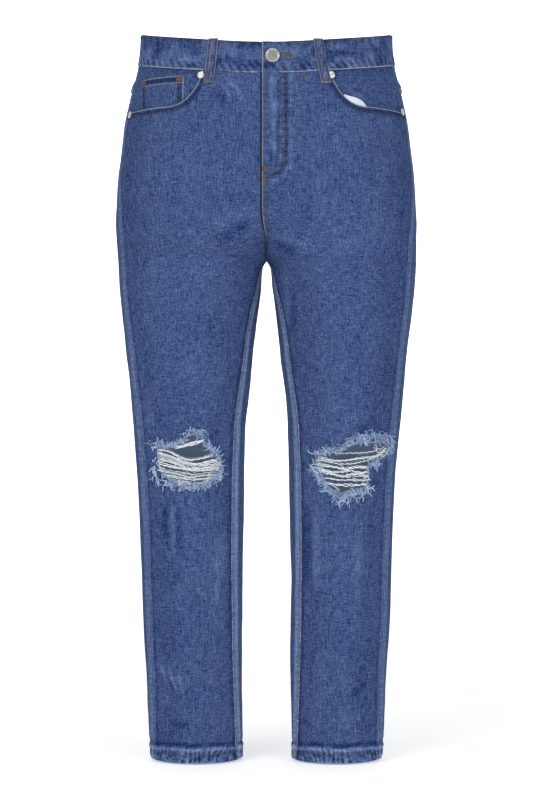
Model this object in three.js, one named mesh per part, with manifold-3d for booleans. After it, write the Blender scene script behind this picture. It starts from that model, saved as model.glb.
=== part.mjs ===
// Ripped jeans, filled out as they are worn: a slim straight five-pocket cut in denim, torn at both
// knees. Millimetres, +Z up, front towards -Y, the wearer's left towards +X. The origin is the middle
// of the waist, halfway up the waistband at the sides.
import * as THREE from 'three';
import { mergeVertices } from 'three/addons/utils/BufferGeometryUtils.js';
import Module from 'manifold-3d';

const wasm = await Module();
wasm.setup();

// ---------------------------------------------------------------- driving dimensions
const CLOTH = 1.5; // one thickness of denim, with its seam allowances pressed flat
const SEAM_GAP = 0.3;
const WAIST_SEAM_Z = -20.5; // the level at which the waist seam's length is measured
const BAND_HEIGHT = 42;
const BAND_PROUD = 1; // the doubled band stands this far out from the panels
const BAND_THICK = 2.7;
const SIDE_SEAM_Z = -25.3; // the waist seam at the side seams
const FRONT_DROP = 20.6; // it dips this far below that at the centre front
const BACK_RISE = 10.8;
const LEVEL_Z = -200; // below this height the rows of the cut are level
const CROTCH_Z = -291;
const CROTCH_Y = -8;
const FRONT_BOW = 120; // height over which the front rise curves under
const BACK_BOW = 150;
const HEM_Z = -976;
const HEM_FOLD = 16.5;
const HEM_DIP = 3; // the hem hangs lower at the front of each leg
const HEM_SWELL = 0.6; // the folded hem is this much thicker on each face
const FLY_LAP = 6; // the wearer's left front laps past the centre line
const FLY_END_Z = -176;
const UNDERLAP = 32; // the band's right end carries on below the left one
const YOKE_SIDE = 34;
const YOKE_BACK = 66;

// Lofting stations down the body and one leg: height, outer side, front and back apex x, front depth,
// back depth, depth of the side line, squareness of the section.
const [OUT, APEX, FRONT, BACK, SIDE, SQUARE] = [1, 2, 3, 4, 5, 6];
const BODY = [
  [30, 172, 28, -110, 103, -2, 2.2],
  [-21, 176, 32, -112, 110, 0, 2.2],
  [-70, 188.5, 45, -117, 124, 3, 2.2],
  [-137, 200, 62, -120, 136, 6, 2.2],
  [-220, 207, 84, -120, 141, 8, 2.15],
  [-262, 207, 95, -116, 133, 9, 2.1],
  [-303, 205.5, 104, -107, 121, 8, 2.05],
  [-344, 203, 106, -99, 110, 7, 2],
  [-413, 195, 106, -88, 95, 5, 2],
  [-482, 187.7, 107, -79, 80, 2, 2],
  [-551, 181.5, 106, -70, 67, 0, 2],
  [-620, 176.6, 104, -64, 66, 2, 2],
  [-703, 173, 103, -59, 70, 6, 2],
  [-786, 170.4, 102, -54, 70, 8, 2],
  [-869, 165.6, 99, -48, 65, 9, 2],
  [-951, 162, 98, -43, 61, 9, 2],
  [-985, 158, 96, -41, 60, 9, 2],
];
// Height and half of the gap between the legs.
const INNER = [
  [-291, 0.4], [-296, 3.2], [-303, 5.4], [-331, 8.3], [-372, 13.8], [-413, 18], [-455, 22.5],
  [-496, 27.3], [-537, 29.7], [-620, 31.7], [-985, 34],
];
// Height and how far each seam lies inside the outline, seen from the front.
const OUT_SEAM = [[30, 5], [-150, 4.5], [-200, 6], [-260, 10.5], [-350, 11], [-620, 10], [-870, 8], [-985, 4.5]];
const IN_SEAM = [
  [-291, 0], [-303, 1.5], [-331, 4], [-372, 7.5], [-430, 9.5], [-620, 11.5], [-786, 10], [-870, 8], [-985, 4],
];

// Rows of the cut, by nominal height. Fronts and backs share them below the yoke, so their edges meet.
const BACK_ROWS = [
  -54.8, -90, -124, -154, -180, -204, -227, -247, -264, -277, -286, -290.8, -295, -303, -320, -350,
  -395, -450, -510, -565, -620, -690, -770, -850, -920, -959, -960, HEM_Z,
];
const FRONT_ROWS = [-20.8, ...BACK_ROWS];

// ---------------------------------------------------------------- the form that the cloth follows
const lerp = (a, b, t) => a + (b - a) * t;
const clamp01 = (t) => Math.min(1, Math.max(0, t));
const smooth = (t) => clamp01(t) ** 2 * (3 - 2 * clamp01(t));
const spread = (count) => Array.from({ length: count + 1 }, (_, i) => i / count);

/** Smooth value of one column of a station table, whose rows run down in height. */
function sample(table, column, z) {
  const last = table.length - 1;
  if (z >= table[0][0]) return table[0][column];
  if (z <= table[last][0]) return table[last][column];
  const i = table.findIndex((row, k) => k < last && table[k + 1][0] <= z);
  const slope = (k) => {
    const above = table[Math.max(0, k - 1)];
    const below = table[Math.min(last, k + 1)];
    return (below[column] - above[column]) / (below[0] - above[0]);
  };
  const span = table[i + 1][0] - table[i][0];
  const t = (z - table[i][0]) / span;
  const start = lerp(table[i][column], table[i][column] + slope(i) * span, t);
  const end = lerp(table[i + 1][column] - slope(i + 1) * span, table[i + 1][column], t);
  return lerp(start, end, smooth(t));
}

/** Sizes of one half's section at a height. Above the crotch the inner end lies on the centre plane. */
function section(z) {
  const column = (index) => sample(BODY, index, z);
  const split = z <= CROTCH_Z;
  const inner = split ? sample(INNER, 1, z) : 0;
  const rise = Math.max(0, z - CROTCH_Z);
  const bow = (height) => Math.sqrt(1 - (1 - clamp01(rise / height)) ** 2);
  const innerLegY = lerp(CROTCH_Y, column(SIDE), smooth((CROTCH_Z - z) / 130));
  const seatDip = lerp(1.005, 0.95, smooth((WAIST_SEAM_Z - z) / 180));
  return {
    out: column(OUT),
    inner,
    apex: split ? (column(OUT) + inner) / 2 : column(APEX),
    front: column(FRONT),
    back: column(BACK),
    side: column(SIDE),
    power: 2 / column(SQUARE),
    cleft: lerp(1, 4, smooth(rise / 130)),
    innerFront: split ? innerLegY : lerp(CROTCH_Y, column(FRONT) - 1, bow(FRONT_BOW)),
    innerBack: split ? innerLegY : lerp(CROTCH_Y, column(BACK) * seatDip, bow(BACK_BOW)),
  };
}

/** Point of a section. Turn runs 0 to 4: inner front end, front apex, side, back apex, inner back end. */
function sectionPoint(cut, turn) {
  const quarter = Math.min(3, Math.floor(turn));
  const angle = ((turn - quarter) * Math.PI) / 2;
  const [sin, cos] = [Math.sin(angle), Math.max(0, Math.cos(angle))];
  if (quarter === 0) {
    return [lerp(cut.apex, cut.inner, cos), lerp(cut.innerFront, cut.front, sin ** cut.cleft)];
  }
  if (quarter === 1) {
    return [lerp(cut.apex, cut.out, sin ** cut.power), lerp(cut.side, cut.front, cos ** cut.power)];
  }
  if (quarter === 2) {
    return [lerp(cut.apex, cut.out, cos ** cut.power), lerp(cut.side, cut.back, sin ** cut.power)];
  }
  return [lerp(cut.apex, cut.inner, sin), lerp(cut.innerBack, cut.back, cos ** cut.cleft)];
}

/** Point at any turn. Past a centre line it is on the other half, and round a leg it comes back. */
function formPoint(z, turn) {
  const cut = section(z);
  if (z <= CROTCH_Z) {
    const [x, y] = sectionPoint(cut, (turn + 4) % 4);
    return new THREE.Vector3(x, y, z);
  }
  const crossed = turn < 0 || turn > 4;
  const folded = turn < 0 ? -turn : Math.min(turn, 8 - turn);
  const [x, y] = sectionPoint(cut, folded);
  return new THREE.Vector3(crossed ? -x : x, y, z);
}

const RING_STEPS = 96;
const rings = new Map();

/** Running length and x along the section at a height, in even steps of turn. */
function ring(z) {
  const key = z.toFixed(3);
  if (!rings.has(key)) {
    const cut = section(z);
    const points = spread(RING_STEPS).map((t) => sectionPoint(cut, 4 * t));
    const lengths = [0];
    for (let i = 1; i <= RING_STEPS; i += 1) {
      const step = Math.hypot(points[i][0] - points[i - 1][0], points[i][1] - points[i - 1][1]);
      lengths.push(lengths[i - 1] + step);
    }
    rings.set(key, { lengths, xs: points.map(([x]) => x), total: lengths[RING_STEPS] });
  }
  return rings.get(key);
}

/** Turn at a running length from the inner front end, which may be below zero or past the end. */
function turnAt(z, length) {
  const { lengths, total } = ring(z);
  if (length < 0) return -turnAt(z, -length);
  if (length > total) return z > CROTCH_Z ? 8 - turnAt(z, 2 * total - length) : 4 + turnAt(z, length - total);
  const i = Math.max(1, lengths.findIndex((value) => value >= length));
  const t = (length - lengths[i - 1]) / (lengths[i] - lengths[i - 1] || 1);
  return (4 * (i - 1 + t)) / RING_STEPS;
}

/** Running length at a turn. */
function lengthAt(z, turn) {
  const { lengths } = ring(z);
  const place = (turn * RING_STEPS) / 4;
  const i = Math.min(RING_STEPS - 1, Math.floor(place));
  return lerp(lengths[i], lengths[i + 1], place - i);
}

/** Running length of the point of the front that lies at x. */
function lengthAtX(z, x) {
  const { lengths, xs } = ring(z);
  const i = Math.max(1, xs.findIndex((value) => value >= x));
  return lerp(lengths[i - 1], lengths[i], (x - xs[i - 1]) / (xs[i] - xs[i - 1]));
}

/** Point and outward direction of the form at a height and a running length. */
function surface(z, length) {
  const turn = turnAt(z, length);
  const [turnStep, heightStep] = [0.02, 1];
  const upper = z > CROTCH_Z ? z + heightStep : Math.min(z + heightStep, CROTCH_Z);
  const lower = z > CROTCH_Z ? Math.max(z - heightStep, CROTCH_Z + 0.001) : z - heightStep;
  const along = formPoint(z, turn + turnStep).sub(formPoint(z, turn - turnStep));
  const down = formPoint(lower, turn).sub(formPoint(upper, turn));
  return { point: formPoint(z, turn), normal: down.cross(along).normalize() };
}

const outSeam = (z) => {
  const cut = section(z);
  const reach = (cut.out - sample(OUT_SEAM, 1, z) - cut.apex) / (cut.out - cut.apex);
  return lengthAt(z, 1 + Math.asin(reach ** (1 / cut.power)) / (Math.PI / 2));
};

/** Running length of the front's inner edge: the lapped centre front, and the inseam below the crotch. */
function innerSeam(z, side) {
  if (z > CROTCH_Z) return -side * FLY_LAP * smooth((z - CROTCH_Z - 3) / 60);
  const cut = section(z);
  const angle = Math.acos(1 - sample(IN_SEAM, 1, z) / (cut.apex - cut.inner));
  return lengthAt(z, angle / (Math.PI / 2));
}

/** Height of the waist seam, at 0 to 1 from the centre front to the side, and 1 to 2 to the back. */
const waistSeam = (t) => (t < 1
  ? SIDE_SEAM_Z - FRONT_DROP * (1 - Math.max(0, t) ** 1.8)
  : SIDE_SEAM_Z + BACK_RISE * (1 - Math.max(0, 2 - t) ** 3));

/** Height of a row whose top edge is curved, fading to level below. */
const rowHeight = (nominal, top, curve) => (
  nominal + (curve - top) * smooth((nominal - LEVEL_Z) / (top - LEVEL_Z)));

// ---------------------------------------------------------------- solids
/** Turns a closed indexed geometry the right way out. */
function facingOut(geometry) {
  const position = geometry.getAttribute('position');
  const index = geometry.getIndex();
  const [a, b, c] = [new THREE.Vector3(), new THREE.Vector3(), new THREE.Vector3()];
  let volume = 0;
  for (let i = 0; i < index.count; i += 3) {
    a.fromBufferAttribute(position, index.getX(i));
    b.fromBufferAttribute(position, index.getX(i + 1));
    c.fromBufferAttribute(position, index.getX(i + 2));
    volume += a.dot(b.cross(c));
  }
  if (volume < 0) index.array.reverse();
  return geometry;
}

/**
 * Wall of cloth on the form. `place` gives, for each u and v, the height, the running length and the
 * offsets of its outer and inner faces. Side is 1 for the wearer's left and -1 for the right.
 */
function wall(side, us, vs, place) {
  const faces = [[], []];
  for (const v of vs) {
    for (const u of us) {
      const { z, length, outer, inner } = place(u, v);
      const { point, normal } = surface(z, length);
      [outer, inner].forEach((offset, face) => {
        const moved = point.clone().addScaledVector(normal, offset);
        faces[face].push(moved.x * side, moved.y, moved.z);
      });
    }
  }
  const [columns, rows] = [us.length, vs.length];
  const under = columns * rows;
  const at = (i, j) => j * columns + i;
  const index = [];
  for (let j = 0; j < rows - 1; j += 1) {
    for (let i = 0; i < columns - 1; i += 1) {
      const [a, b, c, d] = [at(i, j), at(i, j + 1), at(i + 1, j + 1), at(i + 1, j)];
      index.push(a, b, c, a, c, d, under + a, under + c, under + b, under + a, under + d, under + c);
    }
  }
  const rim = [
    ...Array.from({ length: columns - 1 }, (_, i) => [at(i + 1, 0), at(i, 0)]),
    ...Array.from({ length: rows - 1 }, (_, j) => [at(0, j), at(0, j + 1)]),
    ...Array.from({ length: columns - 1 }, (_, i) => [at(i, rows - 1), at(i + 1, rows - 1)]),
    ...Array.from({ length: rows - 1 }, (_, j) => [at(columns - 1, j + 1), at(columns - 1, j)]),
  ];
  for (const [from, to] of rim) index.push(to, from, under + from, to, under + from, under + to);
  const geometry = new THREE.BufferGeometry();
  geometry.setAttribute('position', new THREE.Float32BufferAttribute(faces.flat(), 3));
  geometry.setIndex(index);
  return facingOut(geometry);
}

/** Solid of manifold-3d from a closed geometry. */
function toSolid(geometry) {
  const bare = geometry.clone();
  bare.deleteAttribute('normal');
  bare.deleteAttribute('uv');
  const merged = mergeVertices(bare, 1e-4);
  return new wasm.Manifold(new wasm.Mesh({
    numProp: 3,
    vertProperties: new Float32Array(merged.getAttribute('position').array),
    triVerts: new Uint32Array(merged.getIndex().array),
  }));
}

/** Geometry from a manifold-3d solid. */
function toGeometry(solid) {
  const mesh = solid.getMesh();
  const geometry = new THREE.BufferGeometry();
  geometry.setAttribute('position', new THREE.BufferAttribute(mesh.vertProperties, 3));
  geometry.setIndex(new THREE.BufferAttribute(mesh.triVerts, 1));
  return geometry;
}

/** Cutter through the front of the garment, from an outline in x and z. */
function frontCutter(shape) {
  const geometry = new THREE.ExtrudeGeometry(shape, { depth: 160, bevelEnabled: false, curveSegments: 6 });
  return toSolid(geometry.rotateX(Math.PI / 2));
}

const outline = (points) => new THREE.Shape(points.map(([x, z]) => new THREE.Vector2(x, z)));

// ---------------------------------------------------------------- finishes
const finish = (color, roughness, metalness) => (
  new THREE.MeshStandardMaterial({ color, roughness, metalness, flatShading: true }));
const DENIM = finish(0x45588a, 0.9, 0);
const DENIM_TRIM = finish(0x5a6c98, 0.9, 0);
const WEFT = finish(0xd9d7cf, 0.95, 0);
const BAG = finish(0xdde2ea, 0.9, 0);
const TAPE = finish(0x2c3550, 0.8, 0);
const METAL = finish(0xb8b8b2, 0.35, 1);

const jeans = new THREE.Group();

function add(name, geometry, material) {
  const mesh = new THREE.Mesh(geometry, material);
  mesh.name = name;
  jeans.add(mesh);
  return mesh;
}

// ---------------------------------------------------------------- panels
const sides = [['left', 1], ['right', -1]];
const hemSwell = (z) => (z < HEM_Z + HEM_FOLD ? HEM_SWELL : 0);
const panelFaces = (z) => ({ outer: hemSwell(z), inner: -CLOTH - hemSwell(z) });
const hemHeight = (nominal, t) => (nominal <= HEM_Z ? HEM_Z - HEM_DIP * Math.sin(Math.PI * t) : nominal);

/** Pocket mouth: the corner of the front that is scooped away, down from the waist and out to the side. */
function pocketCutter(side) {
  const shape = new THREE.Shape();
  shape.moveTo(86 * side, 10);
  shape.lineTo(86 * side, -45);
  shape.quadraticCurveTo(103 * side, -88, 128 * side, -88);
  shape.lineTo(225 * side, -90);
  shape.lineTo(225 * side, 10);
  return frontCutter(shape);
}

// Outlines of the torn holes in x and z.
const TORN = {
  right: [
    [-147, -541], [-143, -575], [-128, -592], [-90, -594], [-66, -584], [-65, -550],
    [-80, -538], [-86, -524], [-104, -524], [-112, -537], [-130, -538],
  ],
  left: [
    [69, -553], [76, -588], [94, -600], [136, -603], [137, -568], [150, -560], [162, -553],
    [162, -543], [138, -541], [110, -545], [88, -548],
  ],
};

function frontPanel(side, name) {
  const [start, end] = [innerSeam(WAIST_SEAM_Z, side), outSeam(WAIST_SEAM_Z)];
  const place = (u, v) => {
    const nominal = FRONT_ROWS[v];
    const top = waistSeam(Math.abs(lerp(start, end, u)) / end) - SEAM_GAP;
    const z = hemHeight(rowHeight(nominal, FRONT_ROWS[0], top), u);
    const inset = SEAM_GAP / 2;
    const length = lerp(innerSeam(z, side) + inset, outSeam(z) - inset, u);
    return { z, length, ...panelFaces(z) };
  };
  const panel = toSolid(wall(side, spread(14), FRONT_ROWS.map((_, row) => row), place));
  return toGeometry(panel.subtract(pocketCutter(side)).subtract(frontCutter(outline(TORN[name]))));
}

const yokeSeam = (t) => waistSeam(1 + t) - lerp(YOKE_SIDE, YOKE_BACK, t);

function backPanel(side) {
  const place = (u, v) => {
    const nominal = BACK_ROWS[v];
    const z = hemHeight(rowHeight(nominal, BACK_ROWS[0], yokeSeam(u) - SEAM_GAP), 0);
    const inset = SEAM_GAP / 2;
    const past = z > CROTCH_Z ? 0 : innerSeam(z, side);
    const length = lerp(outSeam(z) + inset, ring(z).total + past - inset, u);
    return { z, length, ...panelFaces(z) };
  };
  return wall(side, spread(12), BACK_ROWS.map((_, row) => row), place);
}

function yoke(side) {
  const place = (u, v) => {
    const z = lerp(waistSeam(1 + u) - SEAM_GAP, yokeSeam(u), v);
    const inset = SEAM_GAP / 2;
    const length = lerp(outSeam(z) + inset, ring(z).total - inset, u);
    return { z, length, outer: 0, inner: -CLOTH };
  };
  return wall(side, spread(9), spread(2), place);
}

for (const [name, side] of sides) {
  add(`front_${name}`, frontPanel(side, name), DENIM);
  add(`back_${name}`, backPanel(side), DENIM);
  add(`yoke_${name}`, yoke(side), DENIM);
}

// ---------------------------------------------------------------- waistband and belt loops
/** Waist seam height at a share of the half ring, 0 at the centre front and 1 at the centre back. */
function seamAtShare(share) {
  const sideShare = outSeam(WAIST_SEAM_Z) / ring(WAIST_SEAM_Z).total;
  return waistSeam(share < sideShare ? share / sideShare : 1 + (share - sideShare) / (1 - sideShare));
}

/** Band from its buried right end, round the back, to the left end that buttons over it. */
function waistband() {
  const half = ring(WAIST_SEAM_Z).total;
  const run = UNDERLAP + 2 * half + FLY_LAP;
  const buried = BAND_THICK + SEAM_GAP;
  const place = (u, v) => {
    const gone = u * run;
    const signed = UNDERLAP - gone < -half ? UNDERLAP - gone + 2 * half : UNDERLAP - gone;
    const share = Math.abs(signed) / half;
    const z = seamAtShare(share) + v * BAND_HEIGHT;
    const sunk = buried * (1 - smooth((gone - UNDERLAP - FLY_LAP) / 25));
    const outer = BAND_PROUD - sunk;
    return { z, length: (signed / half) * ring(z).total, outer, inner: outer - BAND_THICK };
  };
  const ends = [0, 0.018, 0.038, 0.05, 0.065];
  const rest = spread(44).map((t) => lerp(0.08, 1, t));
  return wall(1, [...ends, ...rest], spread(2), place);
}

add('waistband', waistband(), DENIM);

const LOOP = { width: 13.5, length: 60, thick: 1.6, lift: BAND_PROUD + SEAM_GAP, arch: 1.2, above: 1.5 };

/** Belt loop at a share of the half ring, leaning by `slant` from top to bottom. */
function beltLoop(side, share, slant) {
  const place = (u, v) => {
    const z = seamAtShare(share) + BAND_HEIGHT + LOOP.above - v * LOOP.length;
    const across = (u - 0.5) * LOOP.width + slant * v;
    const inner = LOOP.lift + LOOP.arch * Math.sin(Math.PI * v);
    return { z, length: share * ring(z).total + across, outer: inner + LOOP.thick, inner };
  };
  return wall(side, spread(1), spread(8), place);
}

const LOOPS = [
  ['belt_loop_front_left', 1, 0.158, 5],
  ['belt_loop_front_right', -1, 0.164, 0],
  ['belt_loop_side_left', 1, 0.66, 0],
  ['belt_loop_side_right', -1, 0.66, 0],
  ['belt_loop_back', 1, 1, 0],
];
for (const [name, side, share, slant] of LOOPS) add(name, beltLoop(side, share, slant), DENIM_TRIM);

// ---------------------------------------------------------------- pockets
const UNDER = CLOTH + 0.9; // first depth that clears the flats of a panel from below
const UPON = 0.8; // and from above
const COIN_THICK = 1;
const FACING = { start: 68, bottom: -116, top: UNDER + COIN_THICK + SEAM_GAP, thick: 1.2 };

/** Denim that backs the pocket mouth, from under the front to the side seam. */
function pocketFacing(side) {
  const end = outSeam(WAIST_SEAM_Z);
  const start = lengthAtX(WAIST_SEAM_Z, FACING.start);
  const place = (u, v) => {
    const top = waistSeam(lerp(start, end, u) / end) - SEAM_GAP;
    const z = lerp(top, FACING.bottom, v);
    const length = lerp(lengthAtX(z, FACING.start), outSeam(z) - SEAM_GAP / 2, u);
    return { z, length, outer: -FACING.top, inner: -FACING.top - FACING.thick };
  };
  return wall(side, spread(7), spread(4), place);
}

/** Small patch on the front's surface between two x and two heights, at a depth below it. */
function frontPatch(side, [x0, x1], [z0, z1], columns, rows, depth, thick) {
  const place = (u, v) => {
    const z = lerp(z0, z1, v);
    const length = lerp(lengthAtX(z, x0), lengthAtX(z, x1), u);
    return { z, length, outer: -depth, inner: -depth - thick };
  };
  return wall(side, spread(columns), spread(rows), place);
}

/** Sliver of the pocket bag that bulges out at the corner of the mouth. */
function bagSliver() {
  const place = (u, v) => {
    const middle = lerp(104, 136, u);
    const bulge = 5 * Math.sin(Math.PI * u) + 0.6;
    const z = lerp(-74, -92, u ** 0.8) + lerp(bulge, -bulge, v) * 0.9;
    return { z, length: lengthAtX(z, middle + lerp(bulge, -bulge, v)), outer: -UNDER, inner: -UNDER - 0.9 };
  };
  return wall(1, spread(6), spread(2), place);
}

/** Patch pocket on the seat, pointed below. */
function backPocket(side) {
  const [top, bottom, point, halfTop, halfBottom] = [-84, -232, 16, 74, 64];
  const place = (u, v) => {
    const z = lerp(top, bottom - point * (1 - Math.abs(2 * u - 1)), v);
    const centre = lerp(outSeam(z), ring(z).total, 0.5);
    const length = centre + (2 * u - 1) * lerp(halfTop, halfBottom, v);
    return { z, length, outer: UPON + CLOTH, inner: UPON };
  };
  return wall(side, spread(10), spread(6), place);
}

for (const [name, side] of sides) {
  add(`pocket_facing_${name}`, pocketFacing(side), DENIM);
  add(`back_pocket_${name}`, backPocket(side), DENIM);
}
add('coin_pocket', frontPatch(-1, [112, 172], [-49, -106], 8, 4, UNDER, COIN_THICK), DENIM);
add('pocket_bag_left', bagSliver(), BAG);

// ---------------------------------------------------------------- fly, behind the front
/** Upright strip behind the fly, between two x, at a depth below the surface. */
function flyStrip([x0, x1], depth, thick) {
  const place = (u, v) => {
    const z = lerp(-50, FLY_END_Z, v);
    return { z, length: lerp(x0, x1, u), outer: -depth, inner: -depth - thick };
  };
  return wall(1, spread(4), spread(5), place);
}

add('zip', flyStrip([-14, 12], UNDER, 1.2), TAPE);
add('fly_shield', flyStrip([-18, 26], UNDER + 1.2 + SEAM_GAP, CLOTH), DENIM);

// ---------------------------------------------------------------- bared threads at the knees
add('knee_threads_right', frontPatch(-1, [66, 146], [-550, -592], 6, 3, UNDER, 1), WEFT);
add('knee_threads_left', frontPatch(1, [70, 136], [-555, -601], 6, 3, UNDER, 1), WEFT);

// ---------------------------------------------------------------- rivets and waist button
/** Turned piece standing on the cloth at an x and a height of the front. */
function stud(name, profile, side, x, z, lift, facets) {
  const points = profile.map(([radius, height]) => new THREE.Vector2(radius, height));
  const mesh = add(name, new THREE.LatheGeometry(points, facets), METAL);
  const { point, normal } = surface(z, lengthAtX(z, x));
  const outward = new THREE.Vector3(normal.x * side, normal.y, normal.z);
  mesh.position.set(point.x * side, point.y, point.z).addScaledVector(outward, lift);
  mesh.quaternion.setFromUnitVectors(new THREE.Vector3(0, 1, 0), outward);
}

const RIVET = [[0, 0], [4.9, 0], [4.9, 0.5], [4.1, 1.1], [2.4, 1.3], [0, 1.35]];
const BUTTON = [[0, 0], [7, 0], [7, 1.2], [9.6, 1.4], [9.6, 2.4], [8.6, 3.1], [7.4, 2.7], [0, 3]];
const RIVETS = [
  ['rivet_front_left', 1, 86.5, -48.2], ['rivet_front_right', -1, 87.5, -48.2],
  ['rivet_side_left', 1, 184.6, -90], ['rivet_side_right', -1, 185, -94],
];
for (const [name, side, x, z] of RIVETS) {
  // The pocket rivets sit on the corners of the front, just beside the mouth.
  stud(name, RIVET, side, x, z, SEAM_GAP, 10);
}
stud('waist_button', BUTTON, 1, 8, -23, BAND_PROUD + SEAM_GAP, 16);

export default jeans;
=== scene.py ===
"""Ripped jeans, filled out as they are worn: a slim straight five-pocket cut in washed mid-blue denim.

Every piece of cloth is laid on one form, which is the outer surface of the garment. A spot on the form
is a height and a running length round the half, both in millimetres, and meshes are made in metres.
"""

import logging
import math
from collections.abc import Sequence
from dataclasses import dataclass, field
from enum import Enum

import bmesh
import bpy
import numpy as np
from mathutils import Matrix, Vector

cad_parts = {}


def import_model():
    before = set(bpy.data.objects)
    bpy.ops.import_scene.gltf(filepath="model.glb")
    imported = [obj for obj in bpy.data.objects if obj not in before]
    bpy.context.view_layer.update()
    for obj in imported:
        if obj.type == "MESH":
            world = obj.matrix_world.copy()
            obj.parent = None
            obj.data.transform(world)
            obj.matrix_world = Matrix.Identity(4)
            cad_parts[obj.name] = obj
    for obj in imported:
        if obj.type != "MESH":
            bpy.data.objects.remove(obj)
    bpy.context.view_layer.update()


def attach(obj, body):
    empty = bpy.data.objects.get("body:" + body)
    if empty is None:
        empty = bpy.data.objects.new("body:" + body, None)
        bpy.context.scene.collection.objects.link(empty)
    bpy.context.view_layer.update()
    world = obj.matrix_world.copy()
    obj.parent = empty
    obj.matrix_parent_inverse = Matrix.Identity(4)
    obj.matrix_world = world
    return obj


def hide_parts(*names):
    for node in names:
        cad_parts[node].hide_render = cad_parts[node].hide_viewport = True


log = logging.getLogger("jeans")
Array = np.ndarray
MM = 0.001

# ---------------------------------------------------------------- driving dimensions, in millimetres
CLOTH = 1.2
WAIST_SEAM_Z = -20.5
BAND_HEIGHT = 42.0
BAND_PROUD = 1.0
BAND_THICK = 2.7
SIDE_SEAM_Z = -25.3
FRONT_DROP = 20.6
BACK_RISE = 10.8
LEVEL_Z = -200.0
CROTCH_Z = -291.0
CROTCH_Y = -8.0
FRONT_BOW = 120.0
BACK_BOW = 150.0
HEM_Z = -976.0
HEM_FOLD = 12.5
HEM_DIP = 3.0
FLY_LAP = 6.0
FLY_TOP_Z = -50.0
FLY_END_Z = -176.0
UNDERLAP = 32.0
YOKE_SIDE = 34.0
YOKE_BACK = 66.0
TUCK = 4.0  # cloth that carries on out of sight beneath its neighbour
STITCH_PITCH = 3.6

# Height, outer side, front and back apex x, front depth, back depth, depth of the side line, squareness.
BODY = np.array([
    [30, 172, 28, -110, 103, -2, 2.2],
    [-21, 176, 32, -112, 110, 0, 2.2],
    [-70, 188.5, 45, -117, 124, 3, 2.2],
    [-137, 200, 62, -120, 136, 6, 2.2],
    [-220, 207, 84, -120, 141, 8, 2.15],
    [-262, 207, 95, -116, 133, 9, 2.1],
    [-303, 205.5, 104, -107, 121, 8, 2.05],
    [-344, 203, 106, -99, 110, 7, 2],
    [-413, 195, 106, -88, 95, 5, 2],
    [-482, 187.7, 107, -79, 80, 2, 2],
    [-551, 181.5, 106, -70, 67, 0, 2],
    [-620, 176.6, 104, -64, 66, 2, 2],
    [-703, 173, 103, -59, 70, 6, 2],
    [-786, 170.4, 102, -54, 70, 8, 2],
    [-869, 165.6, 99, -48, 65, 9, 2],
    [-951, 162, 98, -43, 61, 9, 2],
    [-985, 158, 96, -41, 60, 9, 2],
])
# Height and half of the gap between the legs.
LEG_GAP = np.array([
    [-291, 0.4], [-296, 3.2], [-303, 5.4], [-331, 8.3], [-372, 13.8], [-413, 18], [-455, 22.5],
    [-496, 27.3], [-537, 29.7], [-620, 31.7], [-985, 34],
])
# Height and how far each seam lies inside the outline, seen from the front.
OUT_SEAM = np.array([
    [30, 5], [-150, 4.5], [-200, 6], [-260, 10.5], [-350, 11], [-620, 10], [-870, 8], [-985, 4.5],
])
IN_SEAM = np.array([
    [-291, 0], [-303, 1.5], [-331, 4], [-372, 7.5], [-430, 9.5], [-620, 11.5], [-786, 10], [-870, 8],
    [-985, 4],
])
# Outlines of the two tears in x and z. A panel on the wearer's right takes x as a positive number.
TORN_RIGHT = (
    (147, -547), (144, -575), (130, -590), (98, -596), (78, -593), (67, -582), (64, -562), (72, -551),
    (86, -544), (86, -533), (92, -529), (104, -529.5), (110, -536), (124, -544), (136, -545),
)
TORN_LEFT = (
    (68, -555), (69, -574), (77, -585), (80, -596), (98, -609), (112, -606), (134, -602), (137, -588),
    (137, -570), (150, -563), (163, -556), (166, -546), (160, -541), (144, -540), (126, -541),
    (112, -543), (102, -549), (84, -552),
)


# ---------------------------------------------------------------- small sums
def lerp(a: Array | float, b: Array | float, t: Array | float) -> Array | float:
    """Value a share t of the way from a to b."""
    return a + (b - a) * t


def smooth(t: Array | float) -> Array:
    """Soft step from 0 to 1."""
    t = np.clip(t, 0.0, 1.0)
    return t * t * (3.0 - 2.0 * t)


def hump(distance: Array, width: float) -> Array:
    """Soft rounded hump of height 1 at no distance, about that wide."""
    return np.exp(-((distance / width) ** 2))


def wander(a: Array, b: Array, seed: int) -> Array:
    """Smooth random field from about -1 to 1, with one knot for each unit of a and b.

    Args:
        a: First coordinate, in knots.
        b: Second coordinate, in knots.
        seed: Number of the field.

    Returns:
        One value for each pair of coordinates.
    """
    knots = np.random.default_rng(seed).uniform(-1.0, 1.0, (64, 64))
    a, b = np.broadcast_arrays(np.asarray(a, float), np.asarray(b, float))
    i, j = np.floor(a).astype(int), np.floor(b).astype(int)
    u, v = smooth(a - i), smooth(b - j)
    corner = [[knots[(i + p) % 64, (j + q) % 64] for q in (0, 1)] for p in (0, 1)]
    return lerp(lerp(corner[0][0], corner[1][0], u), lerp(corner[0][1], corner[1][1], u), v)


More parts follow.
